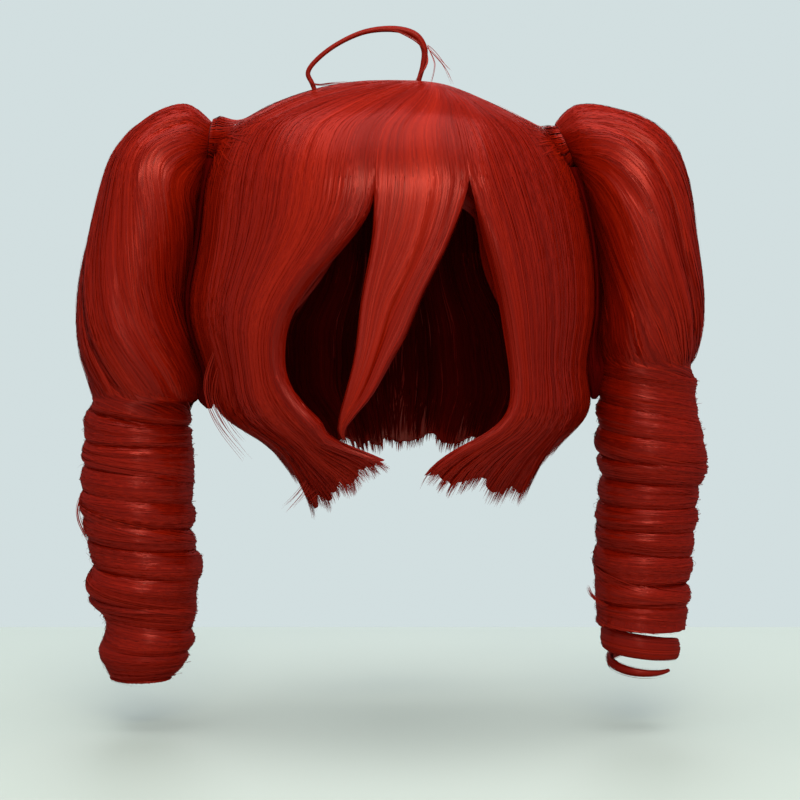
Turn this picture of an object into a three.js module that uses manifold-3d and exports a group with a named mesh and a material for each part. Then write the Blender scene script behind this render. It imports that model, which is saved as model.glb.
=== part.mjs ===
// Bob wig with two side bunches that end in long wound curls, in millimetres.
// The origin is where the top of the head touches the inside of the crown.
// +Z is up, the face opening looks along -Y and +X is the viewer's right.
import * as THREE from "three";
import Module from "manifold-3d";

const wasm = await Module();
wasm.setup();

// The hollow that the head fills
const HEAD_HALF_WIDTH = 78;
const HEAD_FRONT = 96;
const HEAD_BACK = 98;

// The outer form of the bob
const CROWN_RISE = 20;
const BOB_DROP = 250;
const LEFT_REACH = 132;
const RIGHT_REACH = 127;
const FRONT_REACH = 116;
const BACK_REACH = 122;
const HAIR_WALL = 22;
const TIP_WALL = 4;

// Locks
const CROWN_RIDGE = 1.2;
const BOB_RIDGE = 2.4;
const HEM_TIP = 9;
const HEM_FLARE = 8;
const SEAM_GAP = 0.6;
const SEAT_GAP = 0.3;
const CUTTER_EXCESS_SHARE = 0.3;

// Gathers that hold the bunches
const GATHER_RADIUS = 14.5;
const GATHER_OVERLAP = 22;
const GATHER_BAND = 9;

// Bunches
const BUNCH_BACKSET = 8;
const BUNCH_CLEARANCE = 0.4;
const BUNCH_RIDGE = 2;
const LEFT_BUNCH = { rootX: -111, rootZ: -18, width: 95, drop: 167, depth: 96 };
const RIGHT_BUNCH = { rootX: 98, rootZ: -21, width: 100, drop: 143, depth: 92 };

// Wound curls
const LEFT_CURL = { radius: 36, length: 184, pitch: 17, bore: 15, outset: 6 };
const RIGHT_CURL = { radius: 34, length: 169, pitch: 16, bore: 15, outset: 2.5 };
const CREASE_DEPTH = 4.2;

// The loose last turn of the right curl
const END_RADIUS = 23;
const END_WIDTH = 15;
const END_THICKNESS = 4.5;
const END_DROP = 23;

// The loop of hair on the crown
const LOOP_WIDTH = 74;
const LOOP_RISE = 52;
const LOOP_THICKNESS = 3.8;
const LOOP_BACKSET = -10;

// Rings of the outer form from the top down: "down" is a share of the whole
// drop, the other columns are shares of the reach to each side
const hairRings = [
  { down: 0.0, left: 0.0, right: 0.0, front: 0.0, back: 0.0 },
  { down: 0.01, left: 0.28, right: 0.24, front: 0.28, back: 0.28 },
  { down: 0.045, left: 0.54, right: 0.45, front: 0.52, back: 0.52 },
  { down: 0.085, left: 0.7, right: 0.62, front: 0.7, back: 0.7 },
  { down: 0.135, left: 0.83, right: 0.78, front: 0.84, back: 0.83 },
  { down: 0.243, left: 0.91, right: 0.9, front: 0.95, back: 0.95 },
  { down: 0.391, left: 0.95, right: 0.98, front: 1.0, back: 1.0 },
  { down: 0.539, left: 1.0, right: 1.0, front: 1.0, back: 0.98 },
  { down: 0.668, left: 0.93, right: 0.96, front: 1.0, back: 0.91 },
  { down: 0.779, left: 0.86, right: 0.97, front: 0.98, back: 0.8 },
  { down: 0.863, left: 0.61, right: 0.82, front: 0.9, back: 0.68 },
  { down: 0.982, left: 0.45, right: 0.66, front: 0.76, back: 0.56 },
  { down: 1.06, left: 0.4, right: 0.58, front: 0.68, back: 0.5 },
];

// Rings of the head hollow, as shares of the drop below the top of the head
// and of the head's own sizes
const headRings = [
  { down: 0.0, side: 0.0, front: 0.0, back: 0.0 },
  { down: 0.008, side: 0.3, front: 0.26, back: 0.28 },
  { down: 0.036, side: 0.58, front: 0.5, back: 0.54 },
  { down: 0.08, side: 0.76, front: 0.68, back: 0.72 },
  { down: 0.14, side: 0.89, front: 0.84, back: 0.87 },
  { down: 0.23, side: 0.97, front: 0.95, back: 0.97 },
  { down: 0.36, side: 1.0, front: 1.0, back: 1.0 },
  { down: 0.52, side: 1.03, front: 1.02, back: 0.96 },
  { down: 0.65, side: 1.05, front: 1.03, back: 0.9 },
];
const SQUARENESS = 0.87;
const HANG_START_ROWS = 6;
const HANG_END_ROWS = 8;

// Lower end of the crown, as a place on the ring tables
const CROWN_FRONT_ROWS = 5;
const CROWN_BACK_ROWS = 6;

const DEGREE = Math.PI / 180;
const UP = new THREE.Vector3(0, 0, 1);

const clamp01 = (value) => Math.min(1, Math.max(0, value));
const mix = (from, to, share) => from + (to - from) * share;
const ease = (share) => share * share * (3 - 2 * share);

// Smooth value of a table column at a place between its rows
function smooth(rows, column, place) {
  const last = rows.length - 1;
  const row = Math.min(last - 1, Math.max(0, Math.floor(place)));
  const t = place - row;
  const at = (index) => rows[Math.min(last, Math.max(0, index))][column];
  const [a, b, c, d] = [at(row - 1), at(row), at(row + 1), at(row + 2)];
  const slope = c - a;
  const bend = 2 * a - 5 * b + 4 * c - d;
  const twist = 3 * (b - c) + d - a;
  return b + 0.5 * t * (slope + t * (bend + t * twist));
}

// Smooth value at a share of the way along a list of evenly spaced values
function smoothList(values, share) {
  const rows = values.map((value) => ({ value }));
  return smooth(rows, "value", share * (values.length - 1));
}

// Straight value of a table column, where the rows hold their own place
function straight(rows, key, column, place) {
  let row = 0;
  while (row < rows.length - 2 && rows[row + 1][key] < place) row += 1;
  const from = rows[row];
  const to = rows[row + 1];
  const share = clamp01((place - from[key]) / (to[key] - from[key]));
  return mix(from[column], to[column], share);
}

// A point on a rounded ring: azimuth 0 is the front and +90 degrees is +X
function ringPoint(azimuth, left, right, front, back, z) {
  const sine = Math.sin(azimuth);
  const cosine = Math.cos(azimuth);
  const across = Math.sign(sine) * Math.abs(sine) ** SQUARENESS;
  const along = Math.sign(cosine) * Math.abs(cosine) ** SQUARENESS;
  const x = across * (sine < 0 ? left : right);
  const y = -along * (cosine > 0 ? front : back);
  return new THREE.Vector3(x, y, z);
}

function hairSkin(azimuth, place) {
  const left = LEFT_REACH * smooth(hairRings, "left", place);
  const right = RIGHT_REACH * smooth(hairRings, "right", place);
  const front = FRONT_REACH * smooth(hairRings, "front", place);
  const back = BACK_REACH * smooth(hairRings, "back", place);
  const z = CROWN_RISE - (CROWN_RISE + BOB_DROP) * smooth(hairRings, "down", place);
  return ringPoint(azimuth, left, right, front, back, z);
}

function headSkin(azimuth, place) {
  const row = Math.min(place, headRings.length - 1);
  const side = HEAD_HALF_WIDTH * smooth(headRings, "side", row);
  const front = HEAD_FRONT * smooth(headRings, "front", row);
  const back = HEAD_BACK * smooth(headRings, "back", row);
  const z = -BOB_DROP * smooth(headRings, "down", row);
  return ringPoint(azimuth, side, side, front, back, z);
}

// Outward direction of the outer form
function outward(azimuth, place) {
  const step = 0.02;
  const here = Math.max(place, 0.15);
  const low = hairSkin(azimuth, here + step).sub(hairSkin(azimuth, here - step));
  const side = hairSkin(azimuth + step, here).sub(hairSkin(azimuth - step, here));
  return side.cross(low).normalize().negate();
}

// Inner side of the hair: the head above the ears, then a wall that hangs
function innerSkin(azimuth, place, wall) {
  const head = headSkin(azimuth, place);
  const hang = hairSkin(azimuth, place).addScaledVector(outward(azimuth, place), -wall);
  const share = ease(clamp01((place - HANG_START_ROWS) / (HANG_END_ROWS - HANG_START_ROWS)));
  return head.lerp(hang, share);
}

// How far a lock stands out of the surface: 0 in the parting, 1 on its back
function ridge(column, perLock) {
  const place = (column % perLock) / perLock;
  return Math.sin(Math.PI * place) ** 0.8;
}

// Closed mesh from an outer and an inner grid of points
class ClosedMesh {
  constructor() {
    this.points = [];
    this.faces = [];
  }

  add(point) {
    this.points.push(point.x, point.y, point.z);
    return this.points.length / 3 - 1;
  }

  triangle(a, b, c) {
    this.faces.push(a, b, c);
  }

  quad(a, b, c, d) {
    this.triangle(a, b, c);
    this.triangle(a, c, d);
  }

  solid() {
    const mesh = new wasm.Mesh({
      numProp: 3,
      vertProperties: new Float32Array(this.points),
      triVerts: new Uint32Array(this.faces),
    });
    const made = new wasm.Manifold(mesh);
    return made.volume() < 0 ? new ClosedMesh().copyTurned(this).solid() : made;
  }

  copyTurned(other) {
    this.points = other.points;
    for (let i = 0; i < other.faces.length; i += 3) {
      this.triangle(other.faces[i], other.faces[i + 2], other.faces[i + 1]);
    }
    return this;
  }
}

// A wall between two grids that is open at its edges: the rim closes it
function wallPanel(rows, columns, outerAt, innerAt) {
  const mesh = new ClosedMesh();
  const grid = [outerAt, innerAt].map((pointAt) => {
    const lines = [];
    for (let i = 0; i <= rows; i += 1) {
      const line = [];
      for (let j = 0; j <= columns; j += 1) line.push(mesh.add(pointAt(i, j)));
      lines.push(line);
    }
    return lines;
  });
  const [outer, inner] = grid;
  for (let i = 0; i < rows; i += 1) {
    for (let j = 0; j < columns; j += 1) {
      mesh.quad(outer[i][j], outer[i + 1][j], outer[i + 1][j + 1], outer[i][j + 1]);
      mesh.quad(inner[i][j], inner[i][j + 1], inner[i + 1][j + 1], inner[i + 1][j]);
    }
    mesh.quad(outer[i][0], inner[i][0], inner[i + 1][0], outer[i + 1][0]);
    mesh.quad(outer[i][columns], outer[i + 1][columns], inner[i + 1][columns], inner[i][columns]);
  }
  for (let j = 0; j < columns; j += 1) {
    mesh.quad(outer[0][j], outer[0][j + 1], inner[0][j + 1], inner[0][j]);
    mesh.quad(outer[rows][j], inner[rows][j], inner[rows][j + 1], outer[rows][j + 1]);
  }
  return mesh.solid();
}

// A bowl between two skins that meet at a rim: row 0 is a single point
function wallBowl(rows, columns, outerAt, innerAt) {
  const mesh = new ClosedMesh();
  const skins = [outerAt, innerAt].map((pointAt) => {
    const apex = mesh.add(pointAt(0, 0));
    const lines = [];
    for (let i = 1; i <= rows; i += 1) {
      const line = [];
      for (let j = 0; j < columns; j += 1) line.push(mesh.add(pointAt(i, j)));
      lines.push(line);
    }
    return { apex, lines };
  });
  skins.forEach(({ apex, lines }, inside) => {
    const face = (a, b, c) => (inside ? mesh.triangle(a, c, b) : mesh.triangle(a, b, c));
    for (let j = 0; j < columns; j += 1) {
      const next = (j + 1) % columns;
      face(apex, lines[0][j], lines[0][next]);
      for (let i = 0; i < rows - 1; i += 1) {
        face(lines[i][j], lines[i + 1][j], lines[i + 1][next]);
        face(lines[i][j], lines[i + 1][next], lines[i][next]);
      }
    }
  });
  const outerRim = skins[0].lines[rows - 1];
  const innerRim = skins[1].lines[rows - 1];
  for (let j = 0; j < columns; j += 1) {
    const next = (j + 1) % columns;
    mesh.quad(outerRim[j], innerRim[j], innerRim[next], outerRim[next]);
  }
  return mesh.solid();
}

// A solid through closed rings of points, with flat ends
function loft(rings) {
  const mesh = new ClosedMesh();
  const lines = rings.map((ring) => ring.map((point) => mesh.add(point)));
  const sides = lines[0].length;
  for (let i = 0; i < lines.length - 1; i += 1) {
    for (let j = 0; j < sides; j += 1) {
      const next = (j + 1) % sides;
      mesh.quad(lines[i][j], lines[i + 1][j], lines[i + 1][next], lines[i][next]);
    }
  }
  [[lines[0], rings[0]], [lines.at(-1), rings.at(-1)]].forEach(([line, ring], end) => {
    const middle = new THREE.Vector3();
    ring.forEach((point) => middle.addScaledVector(point, 1 / sides));
    const centre = mesh.add(middle);
    for (let j = 0; j < sides; j += 1) {
      const next = (j + 1) % sides;
      if (end) mesh.triangle(centre, line[next], line[j]);
      else mesh.triangle(centre, line[j], line[next]);
    }
  });
  return mesh.solid();
}

// Crown
const CROWN_ROWS = 9;
const CROWN_LOCKS = 15;
const CROWN_PER_LOCK = 3;

function crownEnd(azimuth) {
  const share = ease(clamp01((Math.cos(azimuth) - 0.25) / 0.45));
  return mix(CROWN_BACK_ROWS, CROWN_FRONT_ROWS, share);
}

function makeCrown() {
  const columns = CROWN_LOCKS * CROWN_PER_LOCK;
  const turn = (j) => (2 * Math.PI * j) / columns;
  const outerAt = (i, j) => {
    const share = i / CROWN_ROWS;
    const place = crownEnd(turn(j)) * share;
    const stand = CROWN_RIDGE * share * ridge(j, CROWN_PER_LOCK);
    return hairSkin(turn(j), place).addScaledVector(outward(turn(j), place), stand);
  };
  const innerAt = (i, j) => {
    const share = i / CROWN_ROWS;
    return innerSkin(turn(j), crownEnd(turn(j)) * share, HAIR_WALL);
  };
  return wallBowl(CROWN_ROWS, columns, outerAt, innerAt);
}

// A thicker copy of the crown's wall that cuts the seam to the panels below it
function makeSeamCutter() {
  const columns = CROWN_LOCKS * CROWN_PER_LOCK;
  const turn = (j) => (2 * Math.PI * j) / columns;
  const wallAt = (i, j, share) => {
    const place = (crownEnd(turn(j)) + SEAM_GAP / PLACE_LENGTH) * (i / CROWN_ROWS);
    const outer = hairSkin(turn(j), place);
    return outer.lerp(innerSkin(turn(j), place, HAIR_WALL), share);
  };
  const outerAt = (i, j) => wallAt(i, j, -CUTTER_EXCESS_SHARE);
  const innerAt = (i, j) => wallAt(i, j, 1 + CUTTER_EXCESS_SHARE);
  return wallBowl(CROWN_ROWS, columns, outerAt, innerAt);
}

// The outer form alone, standing out by the gap that pieces on it keep
function makeCrownSeat() {
  const rows = 16;
  const columns = CROWN_LOCKS * CROWN_PER_LOCK;
  const turn = (j) => (2 * Math.PI * j) / columns;
  const outerAt = (i, j) => {
    const place = (CROWN_BACK_ROWS * i) / rows;
    const stand = SEAT_GAP + (CROWN_RIDGE * i) / rows;
    return hairSkin(turn(j), place).addScaledVector(outward(turn(j), place), stand);
  };
  const core = new THREE.Vector3(0, 0, hairSkin(0, CROWN_BACK_ROWS).z);
  const innerAt = (i, j) => outerAt(i, j).lerp(core, 0.9);
  return wallBowl(rows, columns, outerAt, innerAt);
}

// Panels of the bob below the crown. Their two edges, "from" and "to", are
// azimuths in degrees at even steps from the crown to the hem. The hem holds
// places on the ring table and shares of the flare, across the panel.
const panels = {
  bang_left: {
    locks: 5,
    from: [-60, -60],
    to: [-4.9, -6.8, -12, -20, -26, -29.6, -30.7, -26.5, -21, -20, -1.5],
    hem: [
      { at: 0.0, row: 10.9, flare: 0 },
      { at: 0.14, row: 11.35, flare: 1 },
      { at: 0.27, row: 10.9, flare: 0.25 },
      { at: 0.4, row: 11.2, flare: 0.4 },
      { at: 0.53, row: 10.7, flare: 0 },
      { at: 0.67, row: 10.75, flare: 0 },
      { at: 0.8, row: 10.4, flare: 0 },
      { at: 1.0, row: 10.15, flare: 0 },
    ],
    tip: 0,
  },
  bang_centre: {
    locks: 3,
    from: [-3.4, -4.8, -6.8, -8.4, -11.8, -15.6],
    to: [18.6, 13, 5.4, 0.6, -5, -14.4],
    hem: [
      { at: 0.0, row: 9.35, flare: 0 },
      { at: 1.0, row: 9.35, flare: 0 },
    ],
    tip: 0,
  },
  bang_right: {
    locks: 4,
    from: [19.6, 23.9, 28.7, 32.8, 25.9, 7.7],
    to: [60, 60],
    hem: [
      { at: 0.0, row: 10.4, flare: 0 },
      { at: 0.2, row: 10.45, flare: 0 },
      { at: 0.45, row: 10.4, flare: 0 },
      { at: 0.62, row: 10.85, flare: 0.5 },
      { at: 0.75, row: 10.55, flare: 0.25 },
      { at: 0.88, row: 10.9, flare: 1 },
      { at: 1.0, row: 10.5, flare: 0 },
    ],
    tip: 0,
  },
  side_left: {
    locks: 3,
    from: [-104, -104],
    to: [-60.4, -60.4],
    hem: [
      { at: 0.0, row: 10.4, flare: 0 },
      { at: 1.0, row: 10.7, flare: 0 },
    ],
    tip: 1,
  },
  side_right: {
    locks: 3,
    from: [60.4, 60.4],
    to: [104, 104],
    hem: [
      { at: 0.0, row: 10.3, flare: 0 },
      { at: 1.0, row: 10.1, flare: 0 },
    ],
    tip: 1,
  },
  nape: {
    locks: 8,
    from: [104.4, 104.4],
    to: [255.6, 255.6],
    hem: [
      { at: 0.0, row: 10.1, flare: 0 },
      { at: 0.5, row: 10.4, flare: 0 },
      { at: 1.0, row: 10.4, flare: 0 },
    ],
    tip: 1,
  },
};
const PANEL_ROWS = 10;
const PANEL_PER_LOCK = 3;
const PLACE_LENGTH = 36;

function makePanel(panel, cutter) {
  const columns = panel.locks * PANEL_PER_LOCK;
  const chart = (i, j) => {
    const v = i / PANEL_ROWS;
    const u = j / columns;
    const from = smoothList(panel.from, v);
    const to = smoothList(panel.to, v);
    const azimuth = mix(from, to, u) * DEGREE;
    const start = crownEnd(azimuth) - SEAM_GAP / PLACE_LENGTH;
    const notch = panel.tip * (1 - ridge(j, PANEL_PER_LOCK)) * (HEM_TIP / PLACE_LENGTH);
    const end = straight(panel.hem, "at", "row", u) - notch;
    const flare = HEM_FLARE * straight(panel.hem, "at", "flare", u) * v ** 6;
    return { azimuth, place: mix(start, end, v), v, flare };
  };
  const outerAt = (i, j) => {
    const { azimuth, place, v, flare } = chart(i, j);
    const stand = BOB_RIDGE * mix(0.4, 1, v) * ridge(j, PANEL_PER_LOCK) + flare;
    return hairSkin(azimuth, place).addScaledVector(outward(azimuth, place), stand);
  };
  const innerAt = (i, j) => {
    const { azimuth, place, v } = chart(i, j);
    const wall = mix(HAIR_WALL, TIP_WALL, v ** 1.5);
    const inner = innerSkin(azimuth, place, wall);
    const outer = outerAt(i, j);
    const close = ease(clamp01((v - 0.45) / 0.55));
    const thin = outer.clone().addScaledVector(outward(azimuth, place), -wall);
    return inner.lerp(thin, close);
  };
  return wallPanel(PANEL_ROWS, columns, outerAt, innerAt).subtract(cutter);
}

// Bunches: each row is a section that runs from an inner to an outer point,
// both as shares of the width outward and of the drop below the root
const leftBunchRows = [
  { inOut: 0.07, inDown: 0.07, out: 0.08, outDown: -0.07, depth: 0.28 },
  { inOut: 0.12, inDown: 0.13, out: 0.26, outDown: -0.15, depth: 0.56 },
  { inOut: 0.13, inDown: 0.19, out: 0.52, outDown: -0.11, depth: 0.78 },
  { inOut: 0.14, inDown: 0.24, out: 0.69, outDown: -0.02, depth: 0.9 },
  { inOut: 0.15, inDown: 0.31, out: 0.82, outDown: 0.14, depth: 0.97 },
  { inOut: 0.18, inDown: 0.5, out: 0.97, outDown: 0.48, depth: 1.0 },
  { inOut: 0.19, inDown: 0.74, out: 1.0, outDown: 0.75, depth: 0.97 },
  { inOut: 0.16, inDown: 0.93, out: 0.92, outDown: 0.94, depth: 0.84 },
  { inOut: 0.2, inDown: 1.0, out: 0.9, outDown: 1.0, depth: 0.74 },
];
const rightBunchRows = [
  { inOut: 0.07, inDown: 0.1, out: 0.05, outDown: -0.1, depth: 0.28 },
  { inOut: 0.16, inDown: 0.18, out: 0.2, outDown: -0.2, depth: 0.55 },
  { inOut: 0.2, inDown: 0.25, out: 0.5, outDown: -0.18, depth: 0.76 },
  { inOut: 0.23, inDown: 0.33, out: 0.76, outDown: -0.05, depth: 0.9 },
  { inOut: 0.24, inDown: 0.43, out: 0.9, outDown: 0.16, depth: 0.97 },
  { inOut: 0.26, inDown: 0.6, out: 0.98, outDown: 0.52, depth: 1.0 },
  { inOut: 0.3, inDown: 0.77, out: 1.0, outDown: 0.77, depth: 0.96 },
  { inOut: 0.34, inDown: 0.92, out: 0.96, outDown: 0.93, depth: 0.84 },
  { inOut: 0.37, inDown: 1.0, out: 0.92, outDown: 1.0, depth: 0.72 },
];
const BUNCH_STEPS = 16;
const BUNCH_LOCKS = 8;
const BUNCH_PER_LOCK = 3;

// Half the height over which the bob's side counts
const SIDE_BAND = 4;

// Furthest reach of the bob on one side at a height
function bobSide(side, z) {
  let reach = 0;
  for (let place = 3; place <= 11; place += 0.05) {
    const point = hairSkin(side * 90 * DEGREE, place);
    if (Math.abs(point.z - z) < SIDE_BAND) reach = Math.max(reach, Math.abs(point.x));
  }
  return reach;
}

function bunchSection(bunch, rows, place) {
  const side = Math.sign(bunch.rootX);
  const value = (column) => smooth(rows, column, place);
  const innerZ = bunch.rootZ - bunch.drop * value("inDown");
  const outerZ = bunch.rootZ - bunch.drop * value("outDown");
  const innerX = Math.abs(bunch.rootX) + bunch.width * value("inOut");
  const clearX = bobSide(side, innerZ) + BOB_RIDGE + BUNCH_RIDGE + BUNCH_CLEARANCE;
  const outerX = Math.abs(bunch.rootX) + bunch.width * value("out");
  const inner = new THREE.Vector3(side * Math.max(innerX, clearX), BUNCH_BACKSET, innerZ);
  const outer = new THREE.Vector3(side * outerX, BUNCH_BACKSET, outerZ);
  return { inner, outer, depth: (bunch.depth / 2) * value("depth") };
}

function makeBunch(bunch, rows) {
  const sides = BUNCH_LOCKS * BUNCH_PER_LOCK;
  const rings = [];
  for (let i = 0; i <= BUNCH_STEPS; i += 1) {
    const share = i / BUNCH_STEPS;
    const { inner, outer, depth } = bunchSection(bunch, rows, share * (rows.length - 1));
    const centre = inner.clone().lerp(outer, 0.5);
    const reach = outer.clone().sub(centre);
    const fade = Math.sin(Math.PI * clamp01(share)) ** 0.5;
    const ring = [];
    for (let j = 0; j < sides; j += 1) {
      const angle = (2 * Math.PI * j) / sides;
      const across = Math.sign(Math.cos(angle)) * Math.abs(Math.cos(angle)) ** SQUARENESS;
      const along = Math.sign(Math.sin(angle)) * Math.abs(Math.sin(angle)) ** SQUARENESS;
      const swell = 1 + (BUNCH_RIDGE * fade * ridge(j, BUNCH_PER_LOCK)) / reach.length();
      const point = centre.clone().addScaledVector(reach, across * swell);
      point.y += along * depth * swell;
      ring.push(point);
    }
    rings.push(ring);
  }
  return loft(rings);
}

// Gather: a short ribbed sleeve from inside the crown's surface to the bunch
function makeGather(bunch, rows, seat) {
  const { inner, outer } = bunchSection(bunch, rows, 0);
  const centre = inner.clone().lerp(outer, 0.5);
  const tall = outer.clone().sub(inner).normalize();
  const away = new THREE.Vector3(0, 1, 0).cross(tall).normalize();
  if (away.x * bunch.rootX < 0) away.negate();
  const stations = [
    { back: GATHER_OVERLAP, swell: 1.0 },
    { back: GATHER_BAND, swell: 0.98 },
    { back: 0.78 * GATHER_BAND, swell: 1.12 },
    { back: 0.44 * GATHER_BAND, swell: 1.12 },
    { back: 0.28 * GATHER_BAND, swell: 0.98 },
    { back: SEAT_GAP, swell: 0.92 },
  ];
  const sides = 12;
  const rings = stations.map(({ back, swell }) => {
    const ring = [];
    for (let j = 0; j < sides; j += 1) {
      const angle = (2 * Math.PI * j) / sides;
      const radius = GATHER_RADIUS * swell;
      const point = centre.clone().addScaledVector(away, -back);
      point.addScaledVector(tall, radius * Math.cos(angle));
      point.y += radius * Math.sin(angle);
      ring.push(point);
    }
    return ring;
  });
  return loft(rings).subtract(seat);
}

// Wound curl: turns that bulge between creases which run down to the right
// across the front. Shares of the radius, and of it the shift to +X, by height.
const leftCurlRows = [
  { reach: 0.93, shift: 0.0 },
  { reach: 0.97, shift: 0.0 },
  { reach: 0.98, shift: 0.02 },
  { reach: 1.04, shift: -0.02 },
  { reach: 1.02, shift: 0.0 },
  { reach: 0.98, shift: 0.05 },
  { reach: 1.03, shift: 0.14 },
  { reach: 1.0, shift: 0.06 },
  { reach: 0.8, shift: 0.2 },
  { reach: 0.86, shift: 0.12 },
  { reach: 0.6, shift: 0.06 },
];
const rightCurlRows = [
  { reach: 0.98, shift: 0.0 },
  { reach: 0.97, shift: 0.0 },
  { reach: 1.02, shift: 0.04 },
  { reach: 1.05, shift: 0.08 },
  { reach: 0.98, shift: 0.0 },
  { reach: 0.98, shift: -0.03 },
  { reach: 0.94, shift: -0.08 },
  { reach: 0.9, shift: -0.08 },
  { reach: 0.88, shift: -0.1 },
];
const CURL_SIDES = 16;
const turnRows = [
  { at: 0.0, bulge: 0.0 },
  { at: 0.22, bulge: 0.86 },
  { at: 0.55, bulge: 1.0 },
  { at: 0.84, bulge: 0.74 },
];

function curlCentre(bunch, rows, curl) {
  const { inner, outer } = bunchSection(bunch, rows, rows.length - 1);
  const centre = inner.clone().lerp(outer, 0.5);
  centre.x += Math.sign(bunch.rootX) * curl.outset;
  return centre;
}

function makeCurl(curl, curlRows, centre) {
  const top = centre.z - SEAT_GAP;
  const turns = Math.ceil(curl.length / curl.pitch) + 2;
  const steps = turns * CURL_SIDES;
  const pointAt = (step, row) => {
    const angle = (2 * Math.PI * step) / CURL_SIDES;
    const wound = step / CURL_SIDES + turnRows[row].at;
    const z = top + curl.pitch * (1 - wound);
    const share = clamp01((top - z) / curl.length);
    const place = share * (curlRows.length - 1);
    const reach = curl.radius * smooth(curlRows, "reach", place);
    const shift = curl.radius * smooth(curlRows, "shift", place);
    const radius = reach - CREASE_DEPTH * (1 - turnRows[row].bulge);
    const x = centre.x + shift + radius * Math.cos(angle);
    return new THREE.Vector3(x, centre.y + radius * Math.sin(angle), z);
  };
  const mesh = new ClosedMesh();
  const perTurn = turnRows.length;
  const lines = [];
  for (let step = 0; step <= steps; step += 1) {
    lines.push(turnRows.map((row, index) => mesh.add(pointAt(step, index))));
  }
  const vertex = (step, row) => (row < perTurn ? lines[step][row] : lines[step + CURL_SIDES][0]);
  const lastStep = steps - CURL_SIDES;
  for (let step = 0; step < lastStep; step += 1) {
    for (let row = 0; row < perTurn; row += 1) {
      const upper = [vertex(step, row), vertex(step + 1, row)];
      const lower = [vertex(step, row + 1), vertex(step + 1, row + 1)];
      mesh.quad(upper[0], lower[0], lower[1], upper[1]);
    }
  }
  const upperEnd = mesh.add(new THREE.Vector3(centre.x, centre.y, top + curl.pitch));
  for (let step = 0; step < CURL_SIDES; step += 1) {
    mesh.triangle(upperEnd, vertex(step, 0), vertex(step + 1, 0));
  }
  for (let row = 0; row < perTurn; row += 1) {
    mesh.triangle(upperEnd, vertex(0, row + 1), vertex(0, row));
  }
  const lowerZ = top - curl.length - curl.pitch;
  const lowerEnd = mesh.add(new THREE.Vector3(centre.x, centre.y, lowerZ));
  for (let step = lastStep; step < steps; step += 1) {
    mesh.triangle(lowerEnd, vertex(step + 1, 0), vertex(step, 0));
  }
  for (let row = 0; row < perTurn; row += 1) {
    mesh.triangle(lowerEnd, vertex(lastStep, row), vertex(lastStep, row + 1));
  }
  const slab = sweptDisc(curl.radius * 2, top, top - curl.length, centre, 4);
  const boreShift = new THREE.Vector3(centre.x, centre.y, 0);
  const bore = sweptDisc(curl.bore, top + 1, top - curl.length - 1, boreShift, 14);
  return compact(mesh).intersect(slab).subtract(bore);
}

// Drops the points that no face uses before the solid is made
function compact(mesh) {
  const used = new ClosedMesh();
  const seen = new Map();
  mesh.faces.forEach((index) => {
    if (!seen.has(index)) {
      const [x, y, z] = mesh.points.slice(index * 3, index * 3 + 3);
      seen.set(index, used.add(new THREE.Vector3(x, y, z)));
    }
    used.faces.push(seen.get(index));
  });
  return used.solid();
}

// Upright prism with round sides between two heights
function sweptDisc(radius, top, bottom, centre, sides) {
  const ringAt = (z) => {
    const ring = [];
    for (let j = 0; j < sides; j += 1) {
      const angle = (2 * Math.PI * (j + 0.5)) / sides;
      const x = centre.x + radius * Math.cos(angle);
      ring.push(new THREE.Vector3(x, centre.y + radius * Math.sin(angle), z));
    }
    return ring;
  };
  return loft([ringAt(top), ringAt(bottom)]);
}

// Loose last turn: a flat lock that leaves the curl's lower rim and winds on
const endRows = [
  { angle: 120, fall: 0.0, wide: 0.7, reach: 1.0 },
  { angle: 180, fall: 0.02, wide: 1.0, reach: 1.06 },
  { angle: 270, fall: 0.1, wide: 1.0, reach: 1.04 },
  { angle: 340, fall: 0.24, wide: 0.85, reach: 1.02 },
  { angle: 430, fall: 0.5, wide: 0.55, reach: 0.95 },
  { angle: 520, fall: 0.8, wide: 0.4, reach: 0.9 },
  { angle: 610, fall: 1.0, wide: 0.34, reach: 0.88 },
  { angle: 690, fall: 1.02, wide: 0.16, reach: 0.84 },
];

function makeCurlEnd(curl, curlRows, centre) {
  const rim = centre.z - 2 * SEAT_GAP - curl.length;
  const shift = curl.radius * curlRows.at(-1).shift;
  const steps = 30;
  const rings = [];
  for (let i = 0; i <= steps; i += 1) {
    const place = (i / steps) * (endRows.length - 1);
    const angle = smooth(endRows, "angle", place) * DEGREE;
    const wide = END_WIDTH * smooth(endRows, "wide", place);
    const reach = END_RADIUS * smooth(endRows, "reach", place);
    const upper = rim - END_DROP * smooth(endRows, "fall", place);
    const thick = END_THICKNESS * mix(0.55, 1, smooth(endRows, "wide", place));
    const middle = new THREE.Vector3(centre.x + shift, centre.y, upper - wide / 2);
    const radial = new THREE.Vector3(Math.cos(angle), Math.sin(angle), 0);
    const outline = [[0, 0.5], [0.5, 0.28], [0.5, -0.28], [0, -0.5], [-0.5, -0.28], [-0.5, 0.28]];
    rings.push(outline.map(([across, tall]) => {
      const point = middle.clone().addScaledVector(radial, reach + across * thick);
      return point.addScaledVector(UP, tall * wide);
    }));
  }
  return loft(rings);
}

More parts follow.
